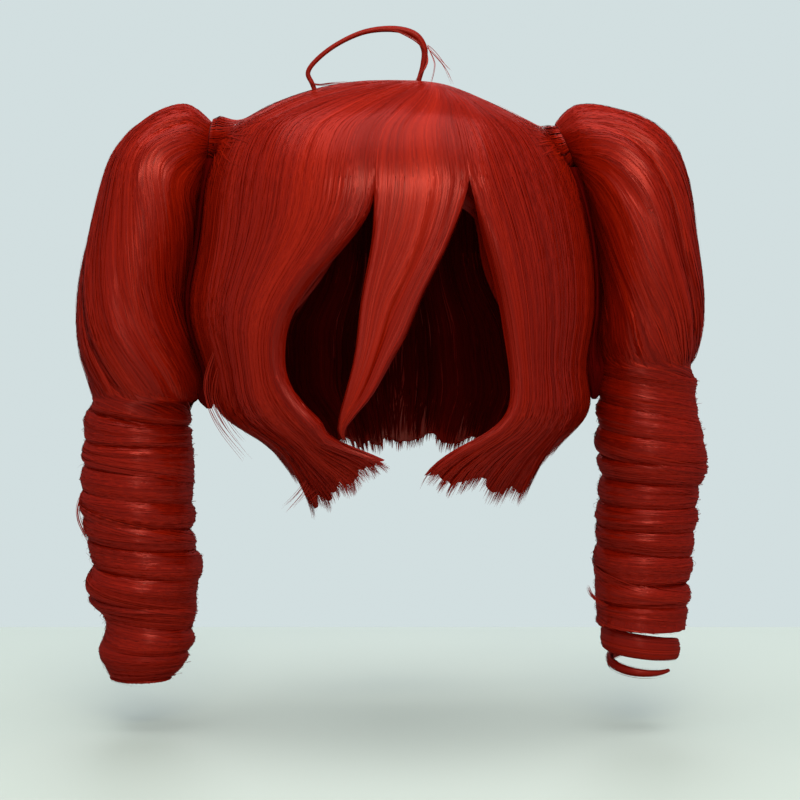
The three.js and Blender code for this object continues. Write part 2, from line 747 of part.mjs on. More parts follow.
// Loop of hair: across is a share of its width from the left foot, rise is a
// share of its height above the top of the head
const loopRows = [
  { across: 0.12, rise: 0.02, thick: 0.8 },
  { across: 0.04, rise: 0.32, thick: 0.8 },
  { across: 0.0, rise: 0.48, thick: 0.8 },
  { across: 0.1, rise: 0.66, thick: 0.8 },
  { across: 0.28, rise: 0.84, thick: 0.8 },
  { across: 0.5, rise: 0.97, thick: 0.9 },
  { across: 0.74, rise: 1.0, thick: 1.1 },
  { across: 0.92, rise: 0.93, thick: 1.2 },
  { across: 1.0, rise: 0.76, thick: 1.1 },
  { across: 0.99, rise: 0.56, thick: 0.9 },
  { across: 0.95, rise: 0.34, thick: 0.8 },
  { across: 0.93, rise: 0.02, thick: 0.8 },
];
const LOOP_LEFT = -56;

function makeLoop(seat) {
  const steps = 34;
  const sides = 6;
  const pointAt = (place) => {
    const x = LOOP_LEFT + LOOP_WIDTH * smooth(loopRows, "across", place);
    return new THREE.Vector3(x, LOOP_BACKSET, LOOP_RISE * smooth(loopRows, "rise", place));
  };
  const rings = [];
  for (let i = 0; i <= steps; i += 1) {
    const place = (i / steps) * (loopRows.length - 1);
    const ahead = pointAt(place + 0.02).sub(pointAt(place - 0.02)).normalize();
    const across = new THREE.Vector3(0, 1, 0).cross(ahead).normalize();
    const radius = (LOOP_THICKNESS / 2) * smooth(loopRows, "thick", place);
    const ring = [];
    for (let j = 0; j < sides; j += 1) {
      const angle = (2 * Math.PI * j) / sides;
      const point = pointAt(place).addScaledVector(across, radius * Math.cos(angle));
      point.y += radius * Math.sin(angle);
      ring.push(point);
    }
    rings.push(ring);
  }
  return loft(rings).subtract(seat);
}

// Materials and the finished group
const HAIR_LOOK = { roughness: 0.38, metalness: 0 };
const hairColours = {
  crown: 0xb3140d,
  front: 0xb8160e,
  side: 0xa8120c,
  back: 0x9e110c,
  gather: 0x8c0f0b,
  bunch: 0xb01a12,
  curl: 0xa9150f,
  loop: 0xa01620,
};

function asMesh(name, solid, colour) {
  const { numProp, vertProperties, triVerts } = solid.getMesh();
  const geometry = new THREE.BufferGeometry();
  const positions = new Float32Array((vertProperties.length / numProp) * 3);
  for (let i = 0; i < positions.length / 3; i += 1) {
    for (let axis = 0; axis < 3; axis += 1) {
      positions[i * 3 + axis] = vertProperties[i * numProp + axis];
    }
  }
  geometry.setAttribute("position", new THREE.BufferAttribute(positions, 3));
  geometry.setIndex(new THREE.BufferAttribute(new Uint32Array(triVerts), 1));
  geometry.computeVertexNormals();
  const material = new THREE.MeshStandardMaterial({ color: colour, ...HAIR_LOOK });
  const mesh = new THREE.Mesh(geometry, material);
  mesh.name = name;
  return mesh;
}

const wig = new THREE.Group();
const crownSeat = makeCrownSeat();
const seamCutter = makeSeamCutter();
const leftCentre = curlCentre(LEFT_BUNCH, leftBunchRows, LEFT_CURL);
const rightCentre = curlCentre(RIGHT_BUNCH, rightBunchRows, RIGHT_CURL);

wig.add(asMesh("crown", makeCrown(), hairColours.crown));
const panelColours = {
  bang_left: hairColours.front,
  bang_centre: hairColours.front,
  bang_right: hairColours.front,
  side_left: hairColours.side,
  side_right: hairColours.side,
  nape: hairColours.back,
};
Object.entries(panels).forEach(([name, panel]) => {
  wig.add(asMesh(name, makePanel(panel, seamCutter), panelColours[name]));
});
wig.add(asMesh("gather_left", makeGather(LEFT_BUNCH, leftBunchRows, crownSeat), hairColours.gather));
wig.add(asMesh("gather_right", makeGather(RIGHT_BUNCH, rightBunchRows, crownSeat), hairColours.gather));
wig.add(asMesh("bunch_left", makeBunch(LEFT_BUNCH, leftBunchRows), hairColours.bunch));
wig.add(asMesh("bunch_right", makeBunch(RIGHT_BUNCH, rightBunchRows), hairColours.bunch));
wig.add(asMesh("curl_left", makeCurl(LEFT_CURL, leftCurlRows, leftCentre), hairColours.curl));
wig.add(asMesh("curl_right", makeCurl(RIGHT_CURL, rightCurlRows, rightCentre), hairColours.curl));
wig.add(asMesh("curl_end_right", makeCurlEnd(RIGHT_CURL, rightCurlRows, rightCentre), hairColours.curl));
wig.add(asMesh("hair_loop", makeLoop(crownSeat), hairColours.loop));

export default wig;
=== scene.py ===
"""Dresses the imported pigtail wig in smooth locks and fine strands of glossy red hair."""

import math

import bpy
import numpy as np
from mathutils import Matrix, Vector


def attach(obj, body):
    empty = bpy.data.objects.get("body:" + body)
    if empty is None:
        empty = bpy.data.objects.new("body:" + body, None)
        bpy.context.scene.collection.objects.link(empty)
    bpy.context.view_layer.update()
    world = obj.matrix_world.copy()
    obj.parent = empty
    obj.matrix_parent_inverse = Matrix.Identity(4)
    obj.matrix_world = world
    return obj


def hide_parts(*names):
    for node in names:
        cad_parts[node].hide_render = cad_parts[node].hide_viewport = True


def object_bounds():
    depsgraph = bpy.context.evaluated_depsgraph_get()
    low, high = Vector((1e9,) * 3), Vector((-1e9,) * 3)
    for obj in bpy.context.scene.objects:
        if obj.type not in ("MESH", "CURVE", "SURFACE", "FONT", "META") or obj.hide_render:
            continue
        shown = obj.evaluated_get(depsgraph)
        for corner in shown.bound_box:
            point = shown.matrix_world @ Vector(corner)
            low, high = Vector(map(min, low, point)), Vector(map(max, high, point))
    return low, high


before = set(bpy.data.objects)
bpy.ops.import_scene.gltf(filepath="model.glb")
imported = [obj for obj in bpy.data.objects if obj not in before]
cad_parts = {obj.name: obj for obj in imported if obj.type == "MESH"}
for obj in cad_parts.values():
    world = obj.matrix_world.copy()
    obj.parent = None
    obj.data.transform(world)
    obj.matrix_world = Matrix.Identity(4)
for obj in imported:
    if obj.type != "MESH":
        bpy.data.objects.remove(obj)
cad_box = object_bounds()

MM = 0.001
TURN = 2 * math.pi

# Driving sizes of the part, in millimetres
HEAD_HALF_WIDTH = 78
HEAD_FRONT = 96
HEAD_BACK = 98
CROWN_RISE = 20
BOB_DROP = 250
LEFT_REACH = 132
RIGHT_REACH = 127
FRONT_REACH = 116
BACK_REACH = 122
HAIR_WALL = 22
TIP_WALL = 4
BOB_RIDGE = 2.4
HEM_TIP = 9
HEM_FLARE = 8
# The groove in the middle lock: depth in mm, half width as a share of the lock
PARTING_DEPTH = 1.5
PARTING_WIDTH = 0.045
PLACE_LENGTH = 36
BUNCH_RIDGE = 2
BUNCH_BACKSET = 8
BUNCH_CLEARANCE = 0.4
SIDE_BAND = 4
GATHER_RADIUS = 14.5
GATHER_OVERLAP = 22
CREASE_DEPTH = 3.4
SQUARENESS = 0.87
HANG_START_ROWS = 6
HANG_END_ROWS = 8
CROWN_FRONT_ROWS = 5
CROWN_BACK_ROWS = 6

# Where the strands of the crown start, and the row at which they run straight
WHORL_X = 22
WHORL_Y = -20
WHORL_FADE = 4.9

# Rings of the outer form: drop, then reach to the left, right, front and back
HAIR_RINGS = [
    (0.0, 0.0, 0.0, 0.0, 0.0),
    (0.01, 0.28, 0.24, 0.28, 0.28),
    (0.045, 0.53, 0.43, 0.52, 0.52),
    (0.085, 0.69, 0.6, 0.7, 0.7),
    (0.135, 0.83, 0.765, 0.82, 0.815),
    (0.243, 0.91, 0.9, 0.945, 0.945),
    (0.391, 0.95, 0.98, 1.0, 1.0),
    (0.539, 1.0, 1.0, 1.0, 0.98),
    (0.668, 0.93, 0.96, 1.0, 0.91),
    (0.779, 0.86, 0.97, 0.98, 0.8),
    (0.863, 0.61, 0.82, 0.9, 0.68),
    (0.982, 0.45, 0.66, 0.76, 0.56),
    (1.06, 0.4, 0.58, 0.68, 0.5),
]

# Rings of the head hollow: drop, then reach to the side, front and back
HEAD_RINGS = [
    (0.0, 0.0, 0.0, 0.0),
    (0.008, 0.3, 0.26, 0.28),
    (0.036, 0.58, 0.5, 0.54),
    (0.08, 0.76, 0.68, 0.72),
    (0.14, 0.89, 0.84, 0.87),
    (0.23, 0.97, 0.95, 0.97),
    (0.36, 1.0, 1.0, 1.0),
    (0.52, 1.03, 1.02, 0.96),
    (0.65, 1.05, 1.03, 0.9),
]

# Panels of the bob: edges as azimuths in degrees at even steps down, and the
# hem as share across, row on the ring table and share of the flare
PANELS = {
    "bang_left": {
        "from": [-60, -60],
        "to": [-4.15, -5.4, -12, -20, -26, -29.6, -30.7, -26.5, -21, -20, -1.5],
        "hem": [(0, 10.9, 0), (0.14, 11.2, 0.8), (0.27, 10.8, 0.25), (0.4, 11.0, 0.4),
                (0.53, 10.6, 0), (0.67, 10.65, 0), (0.8, 10.4, 0), (1, 10.15, 0)],
        "ragged": 0.25,
        "free": (0, 1),
        "inset": (13, 0.5),
    },
    "bang_centre": {
        "from": [-4.15, -4.8, -6.8, -8.4, -11.8, -15.6],
        "to": [19.1, 13, 5.4, 0.6, -5, -14.4],
        "hem": [(0, 9.35, 0), (1, 9.35, 0)],
        "ragged": 0.1,
        "free": (1, 1),
        "inset": (8.5, 1),
        "parting": 0.6,
    },
    "bang_right": {
        "from": [19.1, 23.9, 28.7, 32.8, 25.9, 7.7],
        "to": [60, 60],
        "hem": [(0, 10.52, 0), (0.2, 10.6, 0), (0.45, 10.56, 0), (0.62, 10.85, 0.5),
                (0.75, 10.62, 0.25), (0.88, 10.85, 1), (1, 10.5, 0)],
        "ragged": 0.25,
        "free": (1, 0),
        "inset": (15, 0.75),
    },
    "side_left": {
        "from": [-104, -104],
        "to": [-60, -60],
        "hem": [(0, 10.4, 0), (1, 10.7, 0)],
        "ragged": 1,
        "free": (0, 0),
    },
    "side_right": {
        "from": [60, 60],
        "to": [104, 104],
        "hem": [(0, 10.3, 0), (1, 10.1, 0)],
        "ragged": 1,
        "free": (0, 0),
    },
    "nape": {
        "from": [104, 104],
        "to": [256, 256],
        "hem": [(0, 10.1, 0), (0.5, 10.4, 0), (1, 10.4, 0)],
        "ragged": 1,
        "free": (0, 0),
    },
}

# Bunches: each row is inner share of the width and of the drop, outer share of
# the width and of the drop, and share of the depth
BUNCHES = {
    "left": {
        "root_x": -111, "root_z": -18, "width": 95, "drop": 167, "depth": 96, "tuck": 1.04,
        "swirl": -75,
        "rows": [
            (0.07, 0.07, 0.08, -0.07, 0.28),
            (0.12, 0.13, 0.26, -0.14, 0.56),
            (0.13, 0.19, 0.52, -0.097, 0.78),
            (0.14, 0.24, 0.685, -0.008, 0.9),
            (0.15, 0.31, 0.82, 0.14, 0.97),
            (0.18, 0.5, 0.97, 0.48, 1.0),
            (0.19, 0.74, 1.0, 0.75, 0.97),
            (0.16, 0.93, 0.92, 0.94, 0.84),
            (0.2, 1.0, 0.9, 1.0, 0.74),
        ],
    },
    "right": {
        "root_x": 98, "root_z": -21, "width": 100, "drop": 143, "depth": 92, "tuck": 1.15,
        "swirl": 75,
        "rows": [
            (0.07, 0.1, 0.05, -0.1, 0.28),
            (0.16, 0.18, 0.2, -0.183, 0.55),
            (0.2, 0.25, 0.5, -0.165, 0.76),
            (0.23, 0.33, 0.76, -0.05, 0.9),
            (0.24, 0.43, 0.9, 0.16, 0.97),
            (0.26, 0.6, 0.98, 0.52, 1.0),
            (0.3, 0.77, 1.0, 0.77, 0.96),
            (0.34, 0.92, 0.96, 0.93, 0.84),
            (0.37, 1.0, 0.92, 1.0, 0.72),
        ],
    },
}

# Wound curls: rows are share of the radius and share of the shift to +X
CURLS = {
    "left": {
        "radius": 36, "length": 184, "pitch": 17, "bore": 15, "outset": 6, "sag": 0,
        "rows": [
            (0.93, 0.0), (0.97, 0.0), (0.98, 0.02), (1.04, -0.02), (1.02, 0.0), (0.98, 0.05),
            (1.03, 0.14), (1.0, 0.06), (0.8, 0.2), (0.86, 0.12), (0.6, 0.06),
        ],
    },
    "right": {
        "radius": 34, "length": 169, "pitch": 16, "bore": 15, "outset": 2.5, "sag": 3,
        "rows": [
            (0.94, -0.04), (0.93, -0.04), (1.0, 0.02), (1.04, 0.08), (0.98, 0.0), (0.98, -0.03),
            (0.94, -0.08), (0.9, -0.08), (0.88, -0.1),
        ],
    },
}

# Loose last turn of the right curl: angle, fall, width and reach
END_RADIUS = 23
END_WIDTH = 15
END_THICKNESS = 4.5
END_DROP = 25
SEAT_GAP = 0.3
END_ROWS = [
    (120, 0.0, 0.7, 1.0),
    (180, 0.02, 1.0, 1.06),
    (270, 0.1, 1.0, 1.04),
    (340, 0.24, 0.85, 1.02),
    (430, 0.5, 0.55, 0.95),
    (520, 0.8, 0.4, 0.9),
    (610, 1.0, 0.34, 0.88),
    (690, 1.02, 0.16, 0.84),
]

# Loop of hair on the crown: across, rise and thickness
LOOP_LEFT = -56
LOOP_WIDTH = 74
LOOP_RISE = 52
LOOP_THICKNESS = 3.8
LOOP_BACKSET = -10
LOOP_ROWS = [
    (0.12, 0.02, 0.8),
    (0.04, 0.32, 0.8),
    (0.0, 0.48, 0.8),
    (0.1, 0.66, 0.8),
    (0.28, 0.84, 0.8),
    (0.5, 0.97, 0.9),
    (0.74, 1.0, 1.1),
    (0.92, 0.93, 1.2),
    (1.0, 0.76, 1.1),
    (0.99, 0.56, 0.9),
    (0.95, 0.34, 0.8),
    (0.93, 0.02, 0.8),
]


# Small sums on arrays
def mix(start, end, share):
    return start + (end - start) * share


def ease(share):
    share = np.clip(share, 0, 1)
    return share * share * (3 - 2 * share)


def unit(vectors):
    return vectors / np.maximum(np.linalg.norm(vectors, axis=-1, keepdims=True), 1e-9)


def signed_power(values, power):
    return np.sign(values) * np.abs(values) ** power


def smooth(table, place):
    """Smooth row of a table at places between its rows, columns last."""
    table = np.asarray(table, float)
    last = len(table) - 1
    place = np.asarray(place, float)
    row = np.clip(np.floor(place), 0, last - 1).astype(int)
    t = (place - row)[..., None]
    a, b, c, d = (table[np.clip(row + k, 0, last)] for k in (-1, 0, 1, 2))
    bend = 2 * a - 5 * b + 4 * c - d
    twist = 3 * (b - c) + d - a
    return b + 0.5 * t * ((c - a) + t * (bend + t * twist))


def smooth_list(values, share):
    return smooth(np.array(values, float)[:, None], share * (len(values) - 1))[..., 0]


NOISE_ROWS = 64


def noise(seed, across, along, cells):
    """Smooth noise from -1 to 1: across is in turns and repeats with each turn."""
    table = np.random.default_rng(seed).uniform(-1, 1, (NOISE_ROWS, cells))
    u = np.asarray(across, float) * cells
    v = np.asarray(along, float)
    u, v = np.broadcast_arrays(u, v)
    i, j = np.floor(u).astype(int), np.floor(v).astype(int)
    s, t = ease(u - i), ease(v - j)
    value = [[table[(j + b) % NOISE_ROWS, (i + a) % cells] for a in (0, 1)] for b in (0, 1)]
    return mix(mix(value[0][0], value[0][1], s), mix(value[1][0], value[1][1], s), t)


# The bob's outer form and the head hollow
def ring_point(azimuth, left, right, front, back, z):
    sine, cosine = np.sin(azimuth), np.cos(azimuth)
    x = signed_power(sine, SQUARENESS) * np.where(sine < 0, left, right)
    y = -signed_power(cosine, SQUARENESS) * np.where(cosine > 0, front, back)
    return np.stack(np.broadcast_arrays(x, y, z), axis=-1)


def hair_reaches(place):
    down, left, right, front, back = np.moveaxis(smooth(HAIR_RINGS, place), -1, 0)
    z = CROWN_RISE - (CROWN_RISE + BOB_DROP) * down
    return LEFT_REACH * left, RIGHT_REACH * right, FRONT_REACH * front, BACK_REACH * back, z


def hair_skin(azimuth, place):
    return ring_point(azimuth, *hair_reaches(place))


def head_skin(azimuth, place):
    down, side, front, back = np.moveaxis(smooth(HEAD_RINGS, np.minimum(place, 8)), -1, 0)
    width = HEAD_HALF_WIDTH * side
    return ring_point(azimuth, width, width, HEAD_FRONT * front, HEAD_BACK * back, -BOB_DROP * down)


def outward(azimuth, place):
    """Outward direction of the outer form."""
    step = 0.02
    here = np.maximum(place, 0.15)
    low = hair_skin(azimuth, here + step) - hair_skin(azimuth, here - step)
    side = hair_skin(azimuth + step, here) - hair_skin(azimuth - step, here)
    return -unit(np.cross(side, low))


def inner_skin(azimuth, place, wall):
    """Inner side of the hair: the head above the ears, then a wall that hangs."""
    hang = hair_skin(azimuth, place) - outward(azimuth, place) * np.asarray(wall)[..., None]
    share = ease((place - HANG_START_ROWS) / (HANG_END_ROWS - HANG_START_ROWS))
    return mix(head_skin(azimuth, place), hang, share[..., None])


def crown_end(azimuth):
    share = ease((np.cos(azimuth) - 0.25) / 0.45)
    return mix(CROWN_BACK_ROWS, CROWN_FRONT_ROWS, share)


def crown_height(x, y):
    """Height of the crown over a point of the plan, by halving the range of rows."""
    low, high = np.zeros_like(x), np.full_like(x, CROWN_BACK_ROWS)
    for _ in range(22):
        middle = (low + high) / 2
        left, right, front, back, _z = hair_reaches(middle)
        across = np.abs(x) / np.maximum(np.where(x < 0, left, right), 1e-6)
        along = np.abs(y) / np.maximum(np.where(y < 0, front, back), 1e-6)
        outside = across ** (2 / SQUARENESS) + along ** (2 / SQUARENESS) > 1
        low, high = np.where(outside, middle, low), np.where(outside, high, middle)
    return hair_reaches(high)[4]


def flow_skin(azimuth, place):
    """The bob's outer form along lines that start in the whorl."""
    point = hair_skin(azimuth, place)
    pull = ease(1 - place / WHORL_FADE)
    x = point[..., 0] + WHORL_X * pull
    y = point[..., 1] + WHORL_Y * pull
    z = np.where(pull > 0, crown_height(x, y), point[..., 2])
    return np.stack([x, y, z], axis=-1)


def bob_relief(label, place):
    """Height of the locks over the outer form, along the lines of flow."""
    across = label / TURN
    fade = ease((place - 0.5) / 4.5)
    broad = noise(11, across, 0.3 * place, 26)
    narrow = noise(12, across, 0.4 * place, 70)
    return fade * (BOB_RIDGE * (0.45 + 0.4 * broad) + 0.35 * narrow)


def edge_drop(panel, u, v):
    """How far a panel rounds off towards its free edges, as a share."""
    reach = 0.004 + 0.09 * ease(v / 0.25)
    low = np.clip(1 - u / reach, 0, 1) * panel["free"][0]
    high = np.clip(1 - (1 - u) / reach, 0, 1) * panel["free"][1]
    return 1 - np.sqrt(np.clip(1 - np.maximum(low, high) ** 2, 0, 1))


def hem_values(panel, u, reach=0.045):
    """Row and flare of the hem across a panel, rounded over a reach."""
    at, row, flare = zip(*panel["hem"])
    shifts = np.linspace(-reach, reach, 5)
    rounded = [np.mean([np.interp(u + shift, at, column) for shift in shifts], axis=0)
               for column in (row, flare)]
    return rounded


def panel_point(panel, u, v, depth=0.0, under=0.0):
    """Point of a panel: u across, v down, depth from the outer to the inner side."""
    u, v = np.broadcast_arrays(np.asarray(u, float), np.asarray(v, float))
    start, end = smooth_list(panel["from"], v), smooth_list(panel["to"], v)
    azimuth = np.radians(mix(start, end, u))
    label = np.radians(mix(panel["from"][0], panel["to"][0], u))
    row, flare = hem_values(panel, u)
    rag = panel["ragged"] * (0.5 + 0.5 * noise(21, label / TURN, 0, 90)) * HEM_TIP / PLACE_LENGTH
    place = mix(crown_end(azimuth), row - rag, v)
    out = outward(azimuth, place)
    lift = HEM_FLARE * flare * np.clip(v, 0, 1.1) ** 6
    wall = mix(HAIR_WALL, TIP_WALL, np.clip(v, 0, 1) ** 1.5)
    lift = lift + bob_relief(label, place) * mix(1.0, 1.3, v)
    if "parting" in panel:
        groove = PARTING_DEPTH * np.exp(-((u - panel["parting"]) / PARTING_WIDTH) ** 2)
        lift = lift - groove * ease(v / 0.3) * ease((0.95 - v) / 0.3)
    lift = lift - 0.45 * wall * ease(v / 0.2) * edge_drop(panel, u, v) - under
    outer = hair_skin(azimuth, place) + out * lift[..., None]
    if np.all(np.asarray(depth) == 0):
        return outer
    inner = inner_skin(azimuth, place, wall)
    thin = outer - out * wall[..., None]
    close = ease((v - 0.45) / 0.55)[..., None]
    return mix(outer, mix(inner, thin, close), np.asarray(depth)[..., None])


def inset_point(panel, u, v, depth, under=0.0):
    """Point of a panel whose inner side is narrower, so that a free edge runs back behind it."""
    u, v, depth = np.broadcast_arrays(np.asarray(u, float), np.asarray(v, float), np.asarray(depth, float))
    width = smooth_list(panel["to"], v) - smooth_list(panel["from"], v)
    degrees, last = panel.get("inset", (0, 1))
    share = np.clip(degrees / np.maximum(width, 1), 0, 0.4) * depth * ease((v + 0.02) / 0.1)
    share = share * (1 - 0.85 * ease((v - last) / 0.2))
    low, high = share * panel["free"][0], share * panel["free"][1]
    return panel_point(panel, low + u * (1 - low - high), v, depth, under)


def bob_point(panel, u, s):
    """Point of the bob along a line of flow: the whorl at 0, the crown's end at 1, the hem at 2."""
    u, s = np.broadcast_arrays(np.asarray(u, float), np.asarray(s, float))
    label = np.radians(mix(panel["from"][0], panel["to"][0], u))
    place = crown_end(label) * np.clip(s, 0.004, 1)
    crown = flow_skin(label, place)
    crown = crown + outward(label, place) * bob_relief(label, place)[..., None]
    lower = panel_point(panel, u, np.maximum(s - 1, 0))
    return np.where((s < 1)[..., None], crown, lower)


# Bunches
def bob_side(side, heights):
    """Furthest reach of the bob on one side at heights."""
    points = hair_skin(np.full(161, side * TURN / 4), np.linspace(3, 11, 161))
    near = np.abs(points[None, :, 2] - heights[:, None]) < SIDE_BAND
    return np.where(near, np.abs(points[None, :, 0]), 0).max(axis=1)


BUNCH_SAMPLES = np.linspace(0, 1, 121)


def bunch_sections(bunch):
    """Inner point, outer point and half depth of a bunch at even steps down."""
    side = np.sign(bunch["root_x"])
    rows = smooth(bunch["rows"], BUNCH_SAMPLES * (len(bunch["rows"]) - 1))
    inner_z = bunch["root_z"] - bunch["drop"] * rows[:, 1]
    outer_z = bunch["root_z"] - bunch["drop"] * rows[:, 3]
    clear = bob_side(side, inner_z) + BOB_RIDGE + BUNCH_RIDGE + BUNCH_CLEARANCE
    inner_x = np.maximum(abs(bunch["root_x"]) + bunch["width"] * rows[:, 0], clear)
    outer_x = abs(bunch["root_x"]) + bunch["width"] * rows[:, 2]
    y = np.full_like(inner_x, BUNCH_BACKSET)
    inner = np.stack([side * inner_x, y, inner_z], axis=1)
    outer = np.stack([side * outer_x, y, outer_z], axis=1)
    return inner, outer, bunch["depth"] / 2 * rows[:, 4]


for bunch in BUNCHES.values():
    bunch["sections"] = bunch_sections(bunch)


def along_samples(values, share):
    columns = [np.interp(share, BUNCH_SAMPLES, column) for column in np.atleast_2d(values.T)]
    return np.stack(columns, axis=-1)


def bunch_point(bunch, label, share):
    """Point of a bunch: label is the angle round it at the root, share runs down."""
    label, share = np.broadcast_arrays(np.asarray(label, float), np.asarray(share, float))
    inner, outer, depth = bunch["sections"]
    inner, outer = along_samples(inner, share), along_samples(outer, share)
    depth = along_samples(depth, share)[..., 0]
    swirl = math.radians(bunch["swirl"]) * ease((share - 0.3) / 0.8)
    angle = label + swirl
    centre = (inner + outer) / 2
    reach = outer - centre
    fade = np.sin(np.pi * np.clip(share, 0, 1)) ** 0.5
    seed = 31 if bunch["root_x"] < 0 else 34
    broad = np.abs(noise(seed, label / TURN + 0.08 * share, 2.2 * share, 9)) ** 0.6
    narrow = noise(seed + 1, label / TURN, 3 * share, 34)
    ridge = fade * (BUNCH_RIDGE * (2.2 * broad - 1.25) + 0.5 * narrow)
    swell = 1 + ridge / np.maximum(np.linalg.norm(reach, axis=-1), 1)
    across = signed_power(np.cos(angle), SQUARENESS) * swell
    point = centre + reach * across[..., None]
    point[..., 1] += signed_power(np.sin(angle), SQUARENESS) * depth * swell
    return point


# Curls
def curl_centre(side):
    inner, outer, _depth = BUNCHES[side]["sections"]
    centre = (inner[-1] + outer[-1]) / 2
    centre[0] += math.copysign(CURLS[side]["outset"], centre[0])
    return centre


def foot_radius(side, centre):
    """Reach of a bunch's foot from the axis of its curl, at even steps round the axis."""
    foot = bunch_point(BUNCHES[side], np.linspace(0, TURN, 360), 0.995) - centre
    angle = np.arctan2(foot[:, 1], foot[:, 0]) % TURN
    order = np.argsort(angle)
    reach = np.hypot(foot[:, 0], foot[:, 1])[order]
    return np.interp(FOOT_ANGLES, angle[order], reach, period=TURN)


FOOT_ANGLES = np.linspace(0, TURN, 121)
FOOT_RISE = 9

for side, curl in CURLS.items():
    curl["centre"] = curl_centre(side)
    curl["seed"] = 41 if side == "left" else 44
    curl["foot"] = foot_radius(side, curl["centre"])


def curl_bottom(curl, theta):
    """Height of a curl's lower rim, which may hang lower on its +X side."""
    return curl["centre"][2] - SEAT_GAP - curl["length"] - curl["sag"] * (0.5 + 0.5 * np.cos(theta))


def curl_point(curl, theta, across):
    """Point of a curl: theta winds from the top, across runs down one turn from 0 to 1."""
    theta, across = np.broadcast_arrays(np.asarray(theta, float), np.asarray(across, float))
    centre, pitch, seed = curl["centre"], curl["pitch"], curl["seed"]
    top = centre[2] - SEAT_GAP
    bottom = curl_bottom(curl, theta)
    wound = theta / TURN + across
    beside = across - np.floor(across * 0.999999)
    z = top + pitch * (1 - wound) + 4.2 * noise(seed, theta / TURN, 0.7 * wound, 2)
    share = np.clip((top - z) / curl["length"], 0, 1)
    rows = smooth(curl["rows"], share * (len(curl["rows"]) - 1))
    bulge = np.sin(np.pi * np.clip(beside, 0, 1) ** 0.85) ** 0.5
    depth = 0.7 + 0.9 * noise(seed + 3, theta / TURN, 0.6 * wound, 3)
    crease = CREASE_DEPTH * np.clip(depth, 0.12, 1.4)
    ridge = 0.7 * noise(seed + 2, beside + 0.2 * wound, 1.3 * wound, 5) * bulge
    wobble = 1.3 * noise(seed + 1, theta / TURN, 1.1 * wound, 3)
    radius = curl["radius"] * rows[..., 0] - crease * (1 - bulge) + wobble + ridge
    foot = np.interp(theta % TURN, FOOT_ANGLES, curl["foot"])
    radius = mix(np.minimum(foot, radius), radius, ease((top - z) / FOOT_RISE))
    beyond = np.maximum(z - top, 0) + np.maximum(bottom - z, 0)
    radius = np.maximum(radius - 1.6 * beyond, curl["bore"])
    x = centre[0] + curl["radius"] * rows[..., 1] + radius * np.cos(theta)
    y = centre[1] + radius * np.sin(theta)
    return np.stack([x, y, np.clip(z, bottom, top)], axis=-1)


def end_point(across, share):
    """Point of the loose last turn: across runs once round its flat section."""
    across, share = np.broadcast_arrays(np.asarray(across, float), np.asarray(share, float))
    curl = CURLS["right"]
    angle, fall, wide, reach = np.moveaxis(smooth(END_ROWS, share * (len(END_ROWS) - 1)), -1, 0)
    rim = curl_bottom(curl, np.radians(angle)) - SEAT_GAP
    width = END_WIDTH * wide
    thick = END_THICKNESS * mix(0.55, 1, wide)
    turn = TURN * across
    radius = END_RADIUS * reach + 0.5 * thick * np.cos(turn)
    z = rim - END_DROP * fall - width / 2 + 0.5 * width * np.sin(turn)
    shift = curl["centre"][0] + curl["radius"] * curl["rows"][-1][1]
    x = shift + radius * np.cos(np.radians(angle))
    y = curl["centre"][1] + radius * np.sin(np.radians(angle))
    return np.stack([x, y, z], axis=-1)


def loop_line(place):
    across, rise, thick = np.moveaxis(smooth(LOOP_ROWS, place), -1, 0)
    x = LOOP_LEFT + LOOP_WIDTH * across
    y = np.full_like(x, LOOP_BACKSET)
    return np.stack([x, y, LOOP_RISE * rise], axis=-1), LOOP_THICKNESS / 2 * thick


def loop_point(across, share):
    across, share = np.broadcast_arrays(np.asarray(across, float), np.asarray(share, float))
    place = share * (len(LOOP_ROWS) - 1)
    point, radius = loop_line(place)
    ahead = unit(loop_line(place + 0.02)[0] - loop_line(place - 0.02)[0])
    side = unit(np.cross(np.broadcast_to([0.0, 1.0, 0.0], ahead.shape), ahead))
    turn = TURN * across
    point = point + side * (radius * np.cos(turn))[..., None]
    point[..., 1] += radius * np.sin(turn)
    return point


GATHER_BANDS = [(0.55, 1.0), (0.41, 0.98), (0.32, 1.12), (0.18, 1.12), (0.11, 0.98), (0.0, 0.94)]


def gather_axes(bunch):
    inner, outer = bunch["sections"][0][0], bunch["sections"][1][0]
    centre = (inner + outer) / 2
    tall = unit(outer - inner)
    away = unit(np.cross([0.0, 1.0, 0.0], tall))
    if away[0] * bunch["root_x"] < 0:
        away = -away
    return centre, tall, away


def gather_point(bunch, across, share):
    across, share = np.broadcast_arrays(np.asarray(across, float), np.asarray(share, float))
    centre, tall, away = gather_axes(bunch)
    back, swell = np.moveaxis(smooth(GATHER_BANDS, share * (len(GATHER_BANDS) - 1)), -1, 0)
    ridge = 0.7 * noise(51, across - 0.5 * share, 2 * share, 14)
    radius = GATHER_RADIUS * swell + ridge
    turn = TURN * across
    point = centre - away * (GATHER_OVERLAP * back)[..., None]
    point = point + tall * (radius * np.cos(turn))[..., None]
    point[..., 1] += radius * np.sin(turn)
    return point


